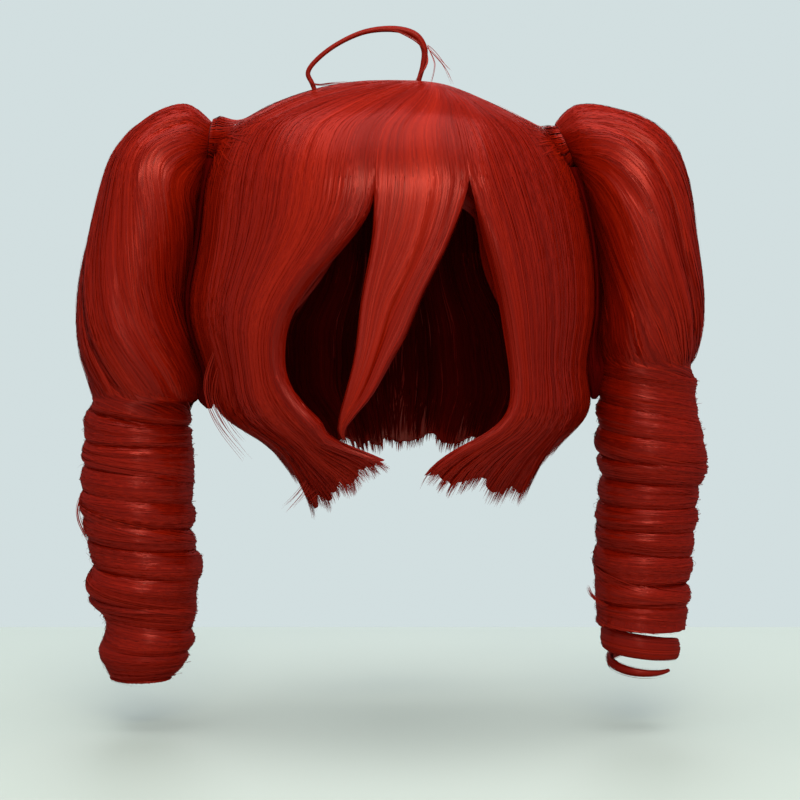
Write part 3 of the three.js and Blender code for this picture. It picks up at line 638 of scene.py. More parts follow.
# Meshes
class Piece:
    """Collects points, faces, tone and flow of one visual piece."""

    def __init__(self, name):
        self.name = name
        self.points, self.quads, self.tones, self.flows = [], [], [], []
        self.count = 0

    def add(self, points, quads, tones, flows):
        self.points.append(np.asarray(points, float).reshape(-1, 3))
        self.quads.append(np.asarray(quads, int).reshape(-1, 4) + self.count)
        self.tones.append(np.asarray(tones, float).ravel())
        self.flows.append(np.asarray(flows, float).reshape(-1, 2))
        self.count += len(self.points[-1])

    def grid(self, points, flows, closed=False, tone=0.5):
        """Adds a grid of points, rows first, that may close on itself across."""
        rows, columns = points.shape[:2]
        index = np.arange(rows * columns).reshape(rows, columns)
        beside = np.roll(index, -1, axis=1)
        if not closed:
            index, beside = index[:, :-1], beside[:, :-1]
        quads = np.stack([index[:-1], index[1:], beside[1:], beside[:-1]], axis=-1)
        self.add(points, quads, np.full(rows * columns, tone), flows)

    def strands(self, points, normals, widths, tones, roll, raised=False):
        """Adds thin ribbons, flat or with a raised middle, along lines of points."""
        count, steps = points.shape[:2]
        ahead = unit(np.gradient(points, axis=1))
        across = unit(np.cross(ahead, normals))
        up = np.cross(across, ahead)
        turn = np.asarray(roll)[:, None, None]
        across, up = across * np.cos(turn) + up * np.sin(turn), up * np.cos(turn) - across * np.sin(turn)
        width = widths[..., None]
        lines = [points - across * width / 2, points + across * width / 2]
        if raised:
            lines.insert(1, points + up * width * RIBBON_RISE)
        columns = len(lines)
        lines = np.stack(lines, axis=2)
        index = np.arange(count * steps * columns).reshape(count, steps, columns)
        quads = np.stack([index[:, :-1, :-1], index[:, 1:, :-1], index[:, 1:, 1:], index[:, :-1, 1:]], -1)
        shape = (count, steps, columns)
        tone = np.broadcast_to(np.asarray(tones)[:, None, None], shape)
        along = np.broadcast_to(np.linspace(0, 1, steps)[None, :, None], shape)
        self.add(lines, quads, tone, np.stack([tone, along], axis=-1))

    def build(self, material, replaces=()):
        points = np.concatenate(self.points) * MM
        quads = np.concatenate(self.quads)
        mesh = bpy.data.meshes.new(self.name)
        mesh.vertices.add(len(points))
        mesh.vertices.foreach_set("co", points.astype(np.float32).ravel())
        mesh.loops.add(quads.size)
        mesh.loops.foreach_set("vertex_index", quads.astype(np.int32).ravel())
        mesh.polygons.add(len(quads))
        mesh.polygons.foreach_set("loop_start", np.arange(0, quads.size, 4, dtype=np.int32))
        mesh.polygons.foreach_set("use_smooth", np.ones(len(quads), bool))
        mesh.update(calc_edges=True)
        tone = mesh.attributes.new("tone", "FLOAT", "POINT")
        tone.data.foreach_set("value", np.concatenate(self.tones).astype(np.float32))
        flow = mesh.uv_layers.new(name="flow")
        corners = np.concatenate(self.flows)[quads.ravel()]
        flow.data.foreach_set("uv", corners.astype(np.float32).ravel())
        mesh.materials.append(material)
        piece = bpy.data.objects.new(self.name, mesh)
        bpy.context.scene.collection.objects.link(piece)
        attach(piece, "root")
        if replaces:
            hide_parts(*replaces)
        return piece


RIBBON_RISE = 0.14
ROLL = 0.16
random = np.random.default_rng(7)


def surface(point, a, b, sign):
    """Points and outward directions of a surface that is a function of two values."""
    step = 0.004
    here = point(a, b)
    first = point(a + step, b) - point(a - step, b)
    second = point(a, b + step) - point(a, b - step)
    return here, sign * unit(np.cross(first, second))


def taper(steps, root, tip):
    """Share of a strand's width along it: it thins over its root and its tip."""
    t = np.linspace(0, 1, steps)
    return np.clip(np.minimum(t / root + 0.25, (1 - t) / tip + 0.08), 0, 1)


def spread(low, high, size):
    return random.uniform(low, high, size)


def strand_tones(locks, count):
    """Tone of each strand: near that of its broad lock, given as turns round the form."""
    broad = 0.24 * noise(63, locks, 0, 46) if locks is not None else 0
    return np.clip(0.5 + broad + random.normal(0, 0.11, count), 0, 1)


def lay_strands(piece, point, a, b, sign, width, lift, fly=0.0, root=0.08, tip=0.2,
                locks=None, raised=False):
    """Lays strands on a surface. a and b hold one row of places for each strand."""
    count, steps = a.shape
    here, out = surface(point, a, b, sign)
    t = np.linspace(0, 1, steps)[None, :]
    rise = spread(lift[0], lift[1], (count, 1)) + fly * spread(0, 1, (count, 1)) ** 3 * t ** 2
    here = here + out * rise[..., None]
    widths = spread(width[0], width[1], (count, 1)) * taper(steps, root, tip)[None, :]
    roll = spread(-ROLL, ROLL, count)
    piece.strands(here, out, widths, strand_tones(locks, count), roll, raised)


# Materials
def hair_material(name, dark, middle, light, roughness, grain, bump, coat=0.06):
    """Glossy hair: tone of each strand, streaks along the flow, and fine grooves."""
    material = bpy.data.materials.new(name)
    material.use_nodes = True
    nodes, links = material.node_tree.nodes, material.node_tree.links
    shader = nodes["Principled BSDF"]
    shader.inputs["Roughness"].default_value = roughness
    shader.inputs["Metallic"].default_value = 0.16
    shader.inputs["Specular IOR Level"].default_value = 0.0
    shader.inputs["Specular Tint"].default_value = (1.0, 0.08, 0.05, 1.0)
    shader.inputs["Coat Weight"].default_value = coat
    shader.inputs["Coat IOR"].default_value = 2.0
    shader.inputs["Coat Roughness"].default_value = 0.3
    flow = nodes.new("ShaderNodeUVMap")
    flow.uv_map = "flow"
    stretch = nodes.new("ShaderNodeMapping")
    stretch.inputs["Scale"].default_value = (grain[0], grain[1], 1)
    streaks = nodes.new("ShaderNodeTexNoise")
    streaks.inputs["Scale"].default_value = 1
    streaks.inputs["Detail"].default_value = 4
    streaks.inputs["Roughness"].default_value = 0.65
    tone = nodes.new("ShaderNodeAttribute")
    tone.attribute_name = "tone"
    both = nodes.new("ShaderNodeMix")
    both.data_type = "FLOAT"
    both.inputs["Factor"].default_value = 0.5
    ramp = nodes.new("ShaderNodeValToRGB")
    ramp.color_ramp.elements[0].position = 0.25
    ramp.color_ramp.elements[0].color = (*dark, 1)
    ramp.color_ramp.elements[1].position = 0.8
    ramp.color_ramp.elements[1].color = (*light, 1)
    centre = ramp.color_ramp.elements.new(0.5)
    centre.color = (*middle, 1)
    links.new(flow.outputs["UV"], stretch.inputs["Vector"])
    links.new(stretch.outputs["Vector"], streaks.inputs["Vector"])
    links.new(streaks.outputs["Fac"], both.inputs["A"])
    links.new(tone.outputs["Fac"], both.inputs["B"])
    links.new(both.outputs["Result"], ramp.inputs["Fac"])
    links.new(ramp.outputs["Color"], shader.inputs["Base Color"])
    if bump:
        grooves = nodes.new("ShaderNodeBump")
        grooves.inputs["Strength"].default_value = bump
        grooves.inputs["Distance"].default_value = 0.4 * MM
        links.new(streaks.outputs["Fac"], grooves.inputs["Height"])
        links.new(grooves.outputs["Normal"], shader.inputs["Normal"])
    return material


BASE_RED = hair_material("hair_mass", (0.1, 0.002, 0.0003), (0.175, 0.004, 0.0006),
                         (0.26, 0.0085, 0.0013), 0.38, (1.6, 0.05), 0.4)
STRAND_RED = hair_material("hair_strands", (0.115, 0.0023, 0.0003), (0.19, 0.0045, 0.0006),
                           (0.29, 0.01, 0.0015), 0.3, (60, 0.8), 0)
# Darker and duller than the hair itself: painted shade for the pinched gather at a bunch's root.
GATHER_SHADE_RED = hair_material("hair_wrap", (0.03, 0.0008, 0.0005), (0.06, 0.0012, 0.0008),
                         (0.1, 0.002, 0.001), 0.4, (1.6, 0.05), 0.4)
# Very dark and without coat: painted shade for the hair that fills the cleft between the bob and a bunch.
CLEFT_SHADE_RED = hair_material("hair_cleft_painted_shade", (0.035, 0.0009, 0.0006), (0.07, 0.0014, 0.0009),
                          (0.12, 0.0024, 0.0012), 0.55, (1.6, 0.05), 0.5, 0.0)
# Darkest of all: painted shade for the inside of the wig, its lining and inner strands.
INNER_SHADE_RED = hair_material("hair_inside_painted_shade", (0.02, 0.001, 0.0008), (0.05, 0.0015, 0.001),
                          (0.09, 0.002, 0.0015), 0.6, (1.6, 0.05), 0.6, 0.0)


# Camera at the photo's angle, light and floor
def look_at(thing, target):
    thing.rotation_mode = "QUATERNION"
    thing.rotation_quaternion = (Vector(target) - thing.location).to_track_quat("-Z", "Y")


def make_camera():
    data = bpy.data.cameras.new("camera")
    data.sensor_width = 36
    data.lens = 90.2
    camera = bpy.data.objects.new("camera", data)
    camera.location = (0.0026, -1.3, -0.0935)
    camera.rotation_euler = (math.radians(90 - 4.05), 0, 0)
    bpy.context.scene.collection.objects.link(camera)
    bpy.context.scene.camera = camera


def area_light(name, place, target, size, watts, colour=(1, 1, 1)):
    data = bpy.data.lights.new(name, "AREA")
    data.shape = "RECTANGLE"
    data.size, data.size_y = size
    data.energy = watts
    data.color = colour
    light = bpy.data.objects.new(name, data)
    light.location = place
    look_at(light, target)
    bpy.context.scene.collection.objects.link(light)


def make_stage():
    """Pale table top under the wig, and a pale grey-blue surround."""
    drop = 0.034
    z = cad_box[0].z - drop
    corners = [(-1.6, -2.4), (1.6, -2.4), (1.6, 0.37), (-1.6, 0.37)]
    mesh = bpy.data.meshes.new("floor")
    mesh.from_pydata([(x, y, z) for x, y in corners], [], [(0, 1, 2, 3)])
    floor = bpy.data.objects.new("floor", mesh)
    bpy.context.scene.collection.objects.link(floor)
    material = bpy.data.materials.new("floor_pale")
    material.use_nodes = True
    shader = material.node_tree.nodes["Principled BSDF"]
    shader.inputs["Base Color"].default_value = (0.4, 0.45, 0.43, 1)
    shader.inputs["Roughness"].default_value = 0.6
    mesh.materials.append(material)
    world = bpy.data.worlds.new("surround")
    world.use_nodes = True
    background = world.node_tree.nodes["Background"]
    background.inputs["Color"].default_value = (0.645, 0.735, 0.745, 1)
    background.inputs["Strength"].default_value = 1.0
    bpy.context.scene.world = world
    bpy.context.scene.view_settings.view_transform = "Standard"
    middle = (0, 0, -0.14)
    area_light("key", (0.1, -1.15, 0.62), middle, (0.8, 0.14), 9.5, (1, 0.9, 0.68))
    area_light("top", (0.0, -0.2, 1.3), middle, (1.8, 1.2), 27, (1, 0.97, 0.92))
    area_light("fill", (0.0, -1.5, 0.05), middle, (0.2, 1.0), 3, (1, 0.88, 0.68))
    area_light("back", (0.0, 1.3, 0.5), middle, (1.0, 0.5), 5)


# Pieces of the bob
CROWN_COLUMNS = 480
CROWN_LINES = 36
PANEL_LINES = 44


def make_crown():
    outer = Piece("crown_hair")
    turn = np.linspace(0, TURN, CROWN_COLUMNS + 1)[None, :]
    share = np.linspace(0.004, 1, CROWN_LINES)[:, None]
    place = crown_end(turn) * share
    points = flow_skin(turn + 0 * share, place)
    points = points + outward(turn + 0 * share, place) * bob_relief(turn + 0 * share, place)[..., None]
    flows = np.stack(np.broadcast_arrays(turn * 110, share * 150), axis=-1)
    outer.grid(points, flows)
    outer.build(BASE_RED, ["crown"])
    inner = Piece("crown_lining")
    turn = np.linspace(0, TURN, 97)[None, :]
    share = np.linspace(0.004, 1, 24)[:, None]
    place = crown_end(turn) * share
    skin = inner_skin(turn + 0 * share, place, HAIR_WALL + 0 * place)
    flows = np.stack(np.broadcast_arrays(turn * 80, share * 120), axis=-1)
    inner.grid(skin, flows)
    rim = np.stack([points[-1][::5], skin[-1]])
    inner.grid(rim, np.zeros((*rim.shape[:2], 2)))
    # The lining takes the darkest red: painted shade on the inside of the wig.
    inner.build(INNER_SHADE_RED)


HEM_LOCKS = 110


def hem_lock(turns):
    """Place in a small lock of the hem, from -1 to 1, and how much shorter the hair is there."""
    cell = turns * HEM_LOCKS + 0.9 * noise(24, turns, 0, HEM_LOCKS // 3)
    number = np.floor(cell).astype(int)
    place = 2 * (cell - number) - 1
    lengths, pulls = np.random.default_rng(25).uniform(0, 1, (2, HEM_LOCKS))
    pull = (0.2 + 0.8 * pulls ** 1.5)[number % HEM_LOCKS]
    short = 0.004 + 0.009 * np.abs(place) ** 1.4 * pull + 0.02 * lengths[number % HEM_LOCKS] ** 3
    return place, short, pull


def label_turns(panel, u):
    return mix(panel["from"][0], panel["to"][0], u) / 360


def mass_end(panel, u):
    """Where the mass of a lock ends: just above the tips of its strands."""
    return 1.0 - hem_lock(label_turns(panel, u))[1]


def to_hem(panel, u, s):
    """Leads strands into the tips of the small locks of the hem."""
    place, short, pull = hem_lock(label_turns(panel, u))
    span = (panel["to"][0] - panel["from"][0]) / 360
    pull = 0.42 * pull * ease((s - 1.72) / 0.28)
    u = u - place / 2 / HEM_LOCKS / span * pull
    return np.clip(u, 0.002, 0.998), s - short * np.clip(s - 1, 0, 1.1) ** 2


def thinning(v):
    """How far a lock's mass thins over the last of its length, in millimetres."""
    return 1.5 * ease((v - 0.8) / 0.16)


def make_panel(name, panel):
    """A lock of the bob as one closed sleeve, thin at its hem."""
    span = panel["to"][0] - panel["from"][0]
    columns = int(span * CROWN_COLUMNS / 360) + 6
    u = np.linspace(0, 1, columns)
    lines = np.linspace(-0.02, 1, PANEL_LINES)[:, None]
    v = lines * mass_end(panel, u)[None, :]
    hidden = 0.5 + 0.9 * np.clip(-v / 0.02, 0, 1)
    outer = panel_point(panel, u[None, :], v, 0.0, hidden + thinning(v))
    label = np.radians(mix(panel["from"][0], panel["to"][0], u))[None, :]
    flows = np.stack(np.broadcast_arrays(label * 110, 150 + v * 170), axis=-1)
    piece = Piece(name + "_hair")
    piece.grid(outer, flows)
    few = u[::3] if (columns - 1) % 3 == 0 else np.append(u[::3], 1)
    v = lines * mass_end(panel, few)[None, :]
    hidden = 0.5 + 0.9 * np.clip(-v / 0.02, 0, 1)
    inner = inset_point(panel, few[None, :], v, 1 - 0.3 * thinning(v), hidden)
    label = np.radians(mix(panel["from"][0], panel["to"][0], few))[None, :]
    flows = np.stack(np.broadcast_arrays(label * 110, 150 + v * 170), axis=-1)
    # The inner side gets a low tone, so a darker red: painted shade.
    piece.grid(inner, flows, tone=0.2)
    for edge in (0.0, 1.0):
        depth = np.linspace(0, 1, 6)[None, :]
        v = lines * mass_end(panel, np.array([edge]))[None, :]
        hidden = 0.5 + 0.9 * np.clip(-v / 0.02, 0, 1)
        depth = depth * (1 - 0.3 * thinning(v))
        rim = inset_point(panel, edge + 0 * depth, v, depth, hidden + thinning(v))
        flows = np.stack(np.broadcast_arrays(depth * 20 + 7 * edge, v * 170), axis=-1)
        piece.grid(rim, flows, tone=0.35)
    depth = np.linspace(0, 0.55, 3)[:, None]
    end = mass_end(panel, u)[None, :]
    hem = inset_point(panel, u[None, :], end + 0 * depth, depth + 0 * u[None, :], 0.5 + thinning(end))
    piece.grid(hem, np.zeros((*hem.shape[:2], 2)), tone=0.3)
    piece.build(BASE_RED, [name])


def strand_lines(count, steps, start, end):
    """Places along a surface for strands that start and end in the given ranges."""
    first = spread(start[0], start[1], (count, 1))
    last = spread(end[0], end[1], (count, 1))
    return mix(first, last, np.linspace(0, 1, steps)[None, :])


def drift(count, steps, amount):
    """Slow sideways wander of each strand."""
    t = np.linspace(0, 1, steps)[None, :]
    phase = spread(0, TURN, (count, 1))
    return amount * (random.normal(0, 1, (count, 1)) * t + 0.5 * np.sin(phase + 4 * t))


# Strands of the bob for each degree of azimuth: number, steps, start, end, width and lift
BOB_LAYERS = [
    (4.8, 27, (0.05, 0.4), (1.92, 2.03), (0.7, 1.1), (-0.1, 0.25)),
    (4.2, 13, (0.12, 0.7), (0.9, 1.3), (0.6, 1.0), (-0.1, 0.25)),
    (6.4, 18, (0.7, 1.3), (1.97, 2.04), (0.6, 1.0), (0.0, 0.35)),
    (0.3, 18, (0.3, 1.3), (1.97, 2.05), (0.3, 0.45), (0.3, 0.9)),
]
TIP_LAYER = (11, 8, (1.62, 1.82), (1.985, 2.045), (0.6, 1.0), (-1.6, 0.3))


def strand_bob(name, panels, density):
    piece = Piece(name)
    for panel_name in panels:
        panel = PANELS[panel_name]
        span = panel["to"][0] - panel["from"][0]
        for layer in [*BOB_LAYERS, TIP_LAYER]:
            number, steps, start, end, width, lift = layer
            count = int(number * span * (1.1 if layer is TIP_LAYER else density))
            s = strand_lines(count, steps, start, end)
            u = spread(0.0, 1.0, (count, 1)) + drift(count, steps, 0.25 / span)
            wave = 1.3 / span * noise(68, u * span / 360, 2.6 * s, 30) * 4 * u * (1 - u)
            u = np.clip(u + wave + 0.35 / span * noise(61, u * span / 360, 2 * s, 200), 0.002, 0.998)
            locks = label_turns(panel, u[:, 0])
            u, s = to_hem(panel, u, s)
            tips = layer is TIP_LAYER
            lay_strands(piece, lambda a, b: bob_point(panel, a, b), u, s, -1, width, lift,
                        0.6 if tips else 1.0, tip=0.3 if tips else 0.16, locks=locks)
    piece.build(STRAND_RED)


def strand_edges(name):
    """Strands down the thick free edges of the front locks."""
    piece = Piece(name)
    for panel_name in ("bang_left", "bang_centre", "bang_right"):
        panel = PANELS[panel_name]
        for edge in (0, 1):
            if not panel["free"][edge]:
                continue
            count = 90
            v = strand_lines(count, 18, (-0.02, 0.5), (0.75, 1.0))
            depth = np.clip(spread(0.0, 0.95, (count, 1)) + 0 * v, 0, 1)
            point = lambda a, b: inset_point(panel, edge + 0 * a, b, a)
            lay_strands(piece, point, depth, v, 1 - 2 * edge, (0.7, 1.2), (0.1, 0.5))
    piece.build(STRAND_RED)


def inner_point(panel, u, s):
    """Point of the bob's inner side: the head's top at 0, the crown's end at 1, the hem at 2."""
    u, s = np.broadcast_arrays(np.asarray(u, float), np.asarray(s, float))
    label = np.radians(mix(panel["from"][0], panel["to"][0], u))
    place = crown_end(label) * np.clip(s, 0.004, 1)
    lining = inner_skin(label, place, HAIR_WALL + 0 * place)
    return np.where((s < 1)[..., None], lining, panel_point(panel, u, np.maximum(s - 1, 0), 1 + 0 * u))


def strand_inside(name):
    """Strands on the inner side of the nape and the sides, seen past the front locks."""
    piece = Piece(name)
    for panel_name in ("nape", "side_left", "side_right"):
        panel = PANELS[panel_name]
        span = panel["to"][0] - panel["from"][0]
        for number, start, end in ((2.2, (0.25, 0.8), (1.85, 2.0)), (2.6, (0.8, 1.5), (1.8, 2.0)),
                                   (3.4, (1.45, 1.7), (1.93, 2.01))):
            count = int(number * span)
            s = strand_lines(count, 16, start, end)
            u = np.clip(spread(0.0, 1.0, (count, 1)) + drift(count, 16, 1.2 / span), 0.002, 0.998)
            point = lambda a, b: inner_point(panel, a, b)
            lay_strands(piece, point, u, s, 1, (0.9, 1.5), (0.1, 0.9), locks=label_turns(panel, u[:, 0]))
    # These strands take the darkest red too: painted shade on the inside of the wig.
    piece.build(INNER_SHADE_RED)


def make_bob():
    make_crown()
    for name, panel in PANELS.items():
        make_panel(name, panel)
    strand_bob("bob_strands_left", ["bang_left", "side_left"], 1.1)
    strand_bob("bob_strands_right", ["bang_centre", "bang_right", "side_right"], 1.1)
    strand_bob("bob_strands_back", ["nape"], 0.8)
    strand_edges("bob_strands_edges")
    strand_inside("bob_strands_inside")


# Pigtails
BUNCH_COLUMNS = 150
BUNCH_LINES = 56
BUNCH_LAYERS = [
    (760, 19, (0.0, 0.1), (0.92, 1.0), (0.7, 1.2), (-0.1, 0.3)),
    (560, 12, (0.0, 0.5), (0.5, 1.0), (0.6, 1.1), (0.0, 0.4)),
    (50, 12, (0.1, 0.4), (0.6, 1.0), (0.3, 0.45), (0.4, 1.2)),
]


def make_bunch(side):
    bunch = BUNCHES[side]
    sign = 1 if side == "left" else -1
    label = np.linspace(0, TURN, BUNCH_COLUMNS + 1)[None, :]
    share = np.linspace(0, 1, BUNCH_LINES)[:, None]
    points = bunch_point(bunch, label, share)
    flows = np.stack(np.broadcast_arrays(label * 42, share * 190), axis=-1)
    piece = Piece("bunch_" + side + "_hair")
    piece.grid(points, flows)
    for end in (0, -1):
        middle = points[end].mean(axis=0)
        cap = mix(middle, points[end][None], np.linspace(0, 1, 4)[:, None, None])
        piece.grid(cap, np.zeros((*cap.shape[:2], 2)), tone=0.3)
    piece.build(BASE_RED, ["bunch_" + side])
    strands = Piece("bunch_" + side + "_strands")
    for number, steps, start, end, width, lift in BUNCH_LAYERS:
        s = strand_lines(number, steps, start, end)
        a = spread(0, TURN, (number, 1)) + drift(number, steps, 0.05)
        a = a + 0.05 * noise(62, a / TURN, 4 * s, 70) + 0.13 * noise(67, a / TURN, 3.2 * s, 8)
        point = lambda p, q: bunch_point(bunch, p, q)
        lay_strands(strands, point, a, s, sign, width, lift, 1.5, tip=0.12, locks=a[:, 0] / TURN)
    strands.build(STRAND_RED)


CURL_STEPS = 56
CURL_PROFILE = np.array([0, 0.03, 0.08, 0.16, 0.28, 0.42, 0.56, 0.7, 0.82, 0.91, 0.97, 1.0])


def make_curl(side):
    curl = CURLS[side]
    turns = math.ceil(curl["length"] / curl["pitch"]) + 1
    theta = np.linspace(0, TURN * turns, turns * CURL_STEPS + 1)[:, None]
    points = curl_point(curl, theta, CURL_PROFILE[None, :])
    flows = np.stack(np.broadcast_arrays(CURL_PROFILE[None, :] * 17, theta * curl["radius"]), axis=-1)
    piece = Piece("curl_" + side + "_hair")
    piece.grid(points, flows)
    ring = np.linspace(0, TURN, 65)[None, :]
    top = curl["centre"][2] - SEAT_GAP
    heights = mix(top, curl_bottom(curl, ring), np.linspace(0, 1, 30)[:, None])
    bore = np.stack(np.broadcast_arrays(
        curl["centre"][0] + curl["bore"] * np.cos(ring),
        curl["centre"][1] + curl["bore"] * np.sin(ring),
        heights), axis=-1)
    flows = np.stack(np.broadcast_arrays(ring * 15 + heights, heights), axis=-1)
    # The bore gets a low tone, so a darker red: painted shade inside the hollow curl.
    piece.grid(bore, flows, tone=0.2)
    piece.build(BASE_RED, ["curl_" + side])
    strands = Piece("curl_" + side + "_strands")
    last = TURN * (curl["length"] / curl["pitch"])
    for number, length, width, lift, fly in (
        (620, 1.3, (0.7, 1.1), (-0.1, 0.25), 0.5),
        (520, 0.7, (0.6, 1.0), (0.0, 0.5), 1.0),
        (220, 0.6, (0.2, 0.32), (0.4, 1.0), 3.2),
    ):
        steps = int(22 * length) + 2
        across = spread(-0.05, 1.05, (number, 1)) + drift(number, steps, 0.22)
        start = spread(0.0, last, (number, 1)) + TURN * (1 - across[:, :1])
        theta = start + TURN * length * np.linspace(0, 1, steps)[None, :]
        theta = np.minimum(theta, last + TURN * (1 - across[:, :1]) - 0.1 + 0.02 * theta / last)
        point = lambda p, q: curl_point(curl, p, q)
        lay_strands(strands, point, theta, across, -1, width, lift, fly, tip=0.15)
    strands.build(STRAND_RED)


WRAP_COUNT = 430
WRAP_STEPS = 25


def make_wrap(side):
    """Hair that leaves the foot of a bunch and winds into the first turns of its curl."""
    bunch, curl = BUNCHES[side], CURLS[side]
    count = WRAP_COUNT
    way = math.copysign(1, bunch["swirl"])
    t = np.linspace(0, 1, WRAP_STEPS)[None, :]
    first = spread(0.6, 0.88, (count, 1))
    share = mix(first, 1, 1 - (1 - np.clip(t / 0.55, 0, 1)) ** 2)
    turn = way * spread(2.2, 4.6, (count, 1)) * np.clip((t - 0.1) / 0.9, 0, 1) ** 1.7
    label = spread(0, TURN, (count, 1)) + turn
    upper = bunch_point(bunch, label, share)
    angle = label + math.radians(bunch["swirl"]) * ease((share - 0.3) / 0.8)
    theta = math.pi - angle if side == "left" else angle
    fall = spread(0.1, 1.3, (count, 1)) * np.clip((t - 0.5) / 0.5, 0, 1) ** 1.2
    lower = curl_point(curl, theta, 1.02 + fall - theta / TURN)
    points = mix(upper, lower, ease((t - 0.42) / 0.2)[..., None])
    for _ in range(4):
        points[:, 1:-1] = (points[:, :-2] + 2 * points[:, 1:-1] + points[:, 2:]) / 4
    centre = np.array([curl["centre"][0], curl["centre"][1], 0])
    out = unit((points - centre) * [1, 1, 0])
    swell = 1.6 * np.exp(-((t - 0.5) / 0.16) ** 2)
    points = points + out * (spread(0.1, 0.9, (count, 1)) + swell)[..., None]
    widths = spread(0.7, 1.1, (count, 1)) * taper(WRAP_STEPS, 0.1, 0.15)[None, :]
    piece = Piece("wrap_" + side + "_strands")
    tones = strand_tones(label[:, 0] / TURN, count)
    piece.strands(points, out, widths, tones, spread(-ROLL, ROLL, count))
    piece.build(STRAND_RED)


TUCK_DEPTH = 15
TUCK_OVERLAP = 4.2


def tuck_point(bunch, across, share):
    """Point of the hair that fills the cleft between the bob and a bunch."""
    across, share = np.broadcast_arrays(np.asarray(across, float), np.asarray(share, float))
    side = np.sign(bunch["root_x"])
    down = mix(0.0, bunch["tuck"], share)
    inner = along_samples(bunch["sections"][0], down)
    height = inner[..., 2] - bunch["drop"] * np.maximum(down - 1, 0)
    near = bob_side(side, height.ravel()).reshape(height.shape)
    middle = (np.abs(inner[..., 0]) + near) / 2
    close = np.clip((1.0 - share) / 0.12, 0.02, 1) ** 0.5
    reach = (np.abs(inner[..., 0]) - near) / 2 + TUCK_OVERLAP * mix(2.2, 1, ease(share / 0.2))
    turn = TURN * across
    ridge = 1 + 0.12 * noise(64, across, 2 * share, 16)
    x = side * (middle + close * reach * np.cos(turn))
    deep = TUCK_DEPTH * close * ridge
    return np.stack([x, BUNCH_BACKSET + deep * np.sin(turn), height], axis=-1)


def make_tuck(side):
    bunch = BUNCHES[side]
    sign = 1 if side == "left" else -1
    point = lambda a, b: tuck_point(bunch, a, b)
    # The hair in the cleft takes a very dark red: painted shade in the cleft between the bob and the
    # bunch.
    make_tube("tuck_" + side + "_hair", point, 48, 40, (30, 170), CLEFT_SHADE_RED, ())
    piece = Piece("tuck_" + side + "_strands")
    count = 170
    s = strand_lines(count, 16, (0.0, 0.4), (0.6, 1.0))
    a = spread(0, 1, (count, 1)) + drift(count, 16, 0.03)
    lay_strands(piece, point, a, s, sign, (0.6, 1.0), (0.0, 0.8), 1.5)
    # The cleft's strands take the same very dark red: painted shade.
    piece.build(CLEFT_SHADE_RED)


def make_tube(name, point, rings, columns, flow, material, replaces, share=(0, 1)):
    """A closed sleeve along a surface function of (across, share)."""
    across = np.linspace(0, 1, columns + 1)[None, :]
    along = np.linspace(share[0], share[1], rings)[:, None]
    points = point(across + 0 * along, along + 0 * across)
    flows = np.stack(np.broadcast_arrays(across * flow[0], along * flow[1]), axis=-1)
    piece = Piece(name)
    piece.grid(points, flows)
    for end in (0, -1):
        middle = points[end].mean(axis=0)
        cap = mix(middle, points[end][None], np.linspace(0, 1, 3)[:, None, None])
        piece.grid(cap, np.zeros((*cap.shape[:2], 2)), tone=0.3)
    return piece.build(material, replaces)


def make_curl_end():
    make_tube("curl_end_hair", end_point, 90, 14, (16, 250), BASE_RED, ["curl_end_right"])
    piece = Piece("curl_end_strands")
    count = 70
    s = strand_lines(count, 60, (0.0, 0.1), (0.75, 1.0))
    a = spread(0, 1, (count, 1)) + drift(count, 60, 0.02)
    lay_strands(piece, end_point, a, s, -1, (0.5, 0.9), (0.0, 0.5), 1.5, tip=0.3)
    piece.build(STRAND_RED)


# Thin strands beside the loop: across, depth and height of the points each follows, and how many
LOOP_STRAYS = [
    (((-12, -12, 51), (-2, -13, 51), (7, -13, 47.5), (15, -13, 42.5), (19, -12, 37), (19, -12, 30)), 7),
    (((20, -11, 36), (20, -12, 31), (18, -13, 26), (15, -13, 22), (11, -14, 15)), 9),
    (((-56, -10, 22), (-54, -12, 18), (-49, -13, 16.5), (-40, -14, 17), (-30, -14, 18)), 8),
    (((20, -11, 41), (24, -12, 32), (24.5, -13, 26), (22, -14, 16)), 4),
    (((20, -11, 40), (26.5, -13, 33), (32, -14, 26), (36, -15, 17)), 3),
    (((20, -11, 42), (28, -13, 33.5), (35, -14, 26)), 2),
]


# Wisps beside the left front lock and its tip, given in the same way
BOB_WISPS = [
    (((-111, -64, -150), (-117, -57, -168), (-116, -53, -183), (-108, -53, -199), (-93, -56, -217)), 8),
    (((-109, -65, -160), (-112, -58, -178), (-105, -55, -195), (-96, -55, -207)), 7),
    (((-52, -66, -205), (-50, -67, -221), (-56, -68, -236), (-67, -68, -249)), 12),
    (((-40, -72, -205), (-39, -73, -220), (-45, -73, -233), (-56, -72, -243)), 8),
    (((-34, -76, -205), (-32, -77, -219), (-33, -77, -231)), 8),
]


def lay_strays(piece, groups, root, tip):
    """Lays single thin strands along given lines, scattered from root to tip."""
    steps = 24
    for feet, number in groups:
        lines = smooth(feet, np.linspace(0, len(feet) - 1, steps))
        t = np.linspace(0, 1, steps)[None, :, None]
        points = lines[None] + mix(root, tip, t) * spread(-1, 1, (number, 1, 3))
        sway = np.sin(TURN * t * spread(0.4, 1.0, (number, 1, 1)))
        points = points + 0.5 * sway * spread(-1, 1, (number, 1, 3))
        normals = np.broadcast_to([0.0, -1.0, 0.0], points.shape)
        widths = spread(0.25, 0.4, (number, 1)) * taper(steps, 0.05, 0.4)[None, :]
        tones, rolls = spread(0.3, 0.7, number), spread(-ROLL, ROLL, number)
        piece.strands(points, normals, widths, tones, rolls, True)


CURL_WISPS = [
    (((-203, -1, -243), (-207, -2, -254), (-206.5, -3, -264), (-202, -3, -274), (-197, -3, -282)), 9),
    (((138, -10, -319), (132, -12, -316), (127, -12, -311.5), (124.5, -12, -306)), 14),
]

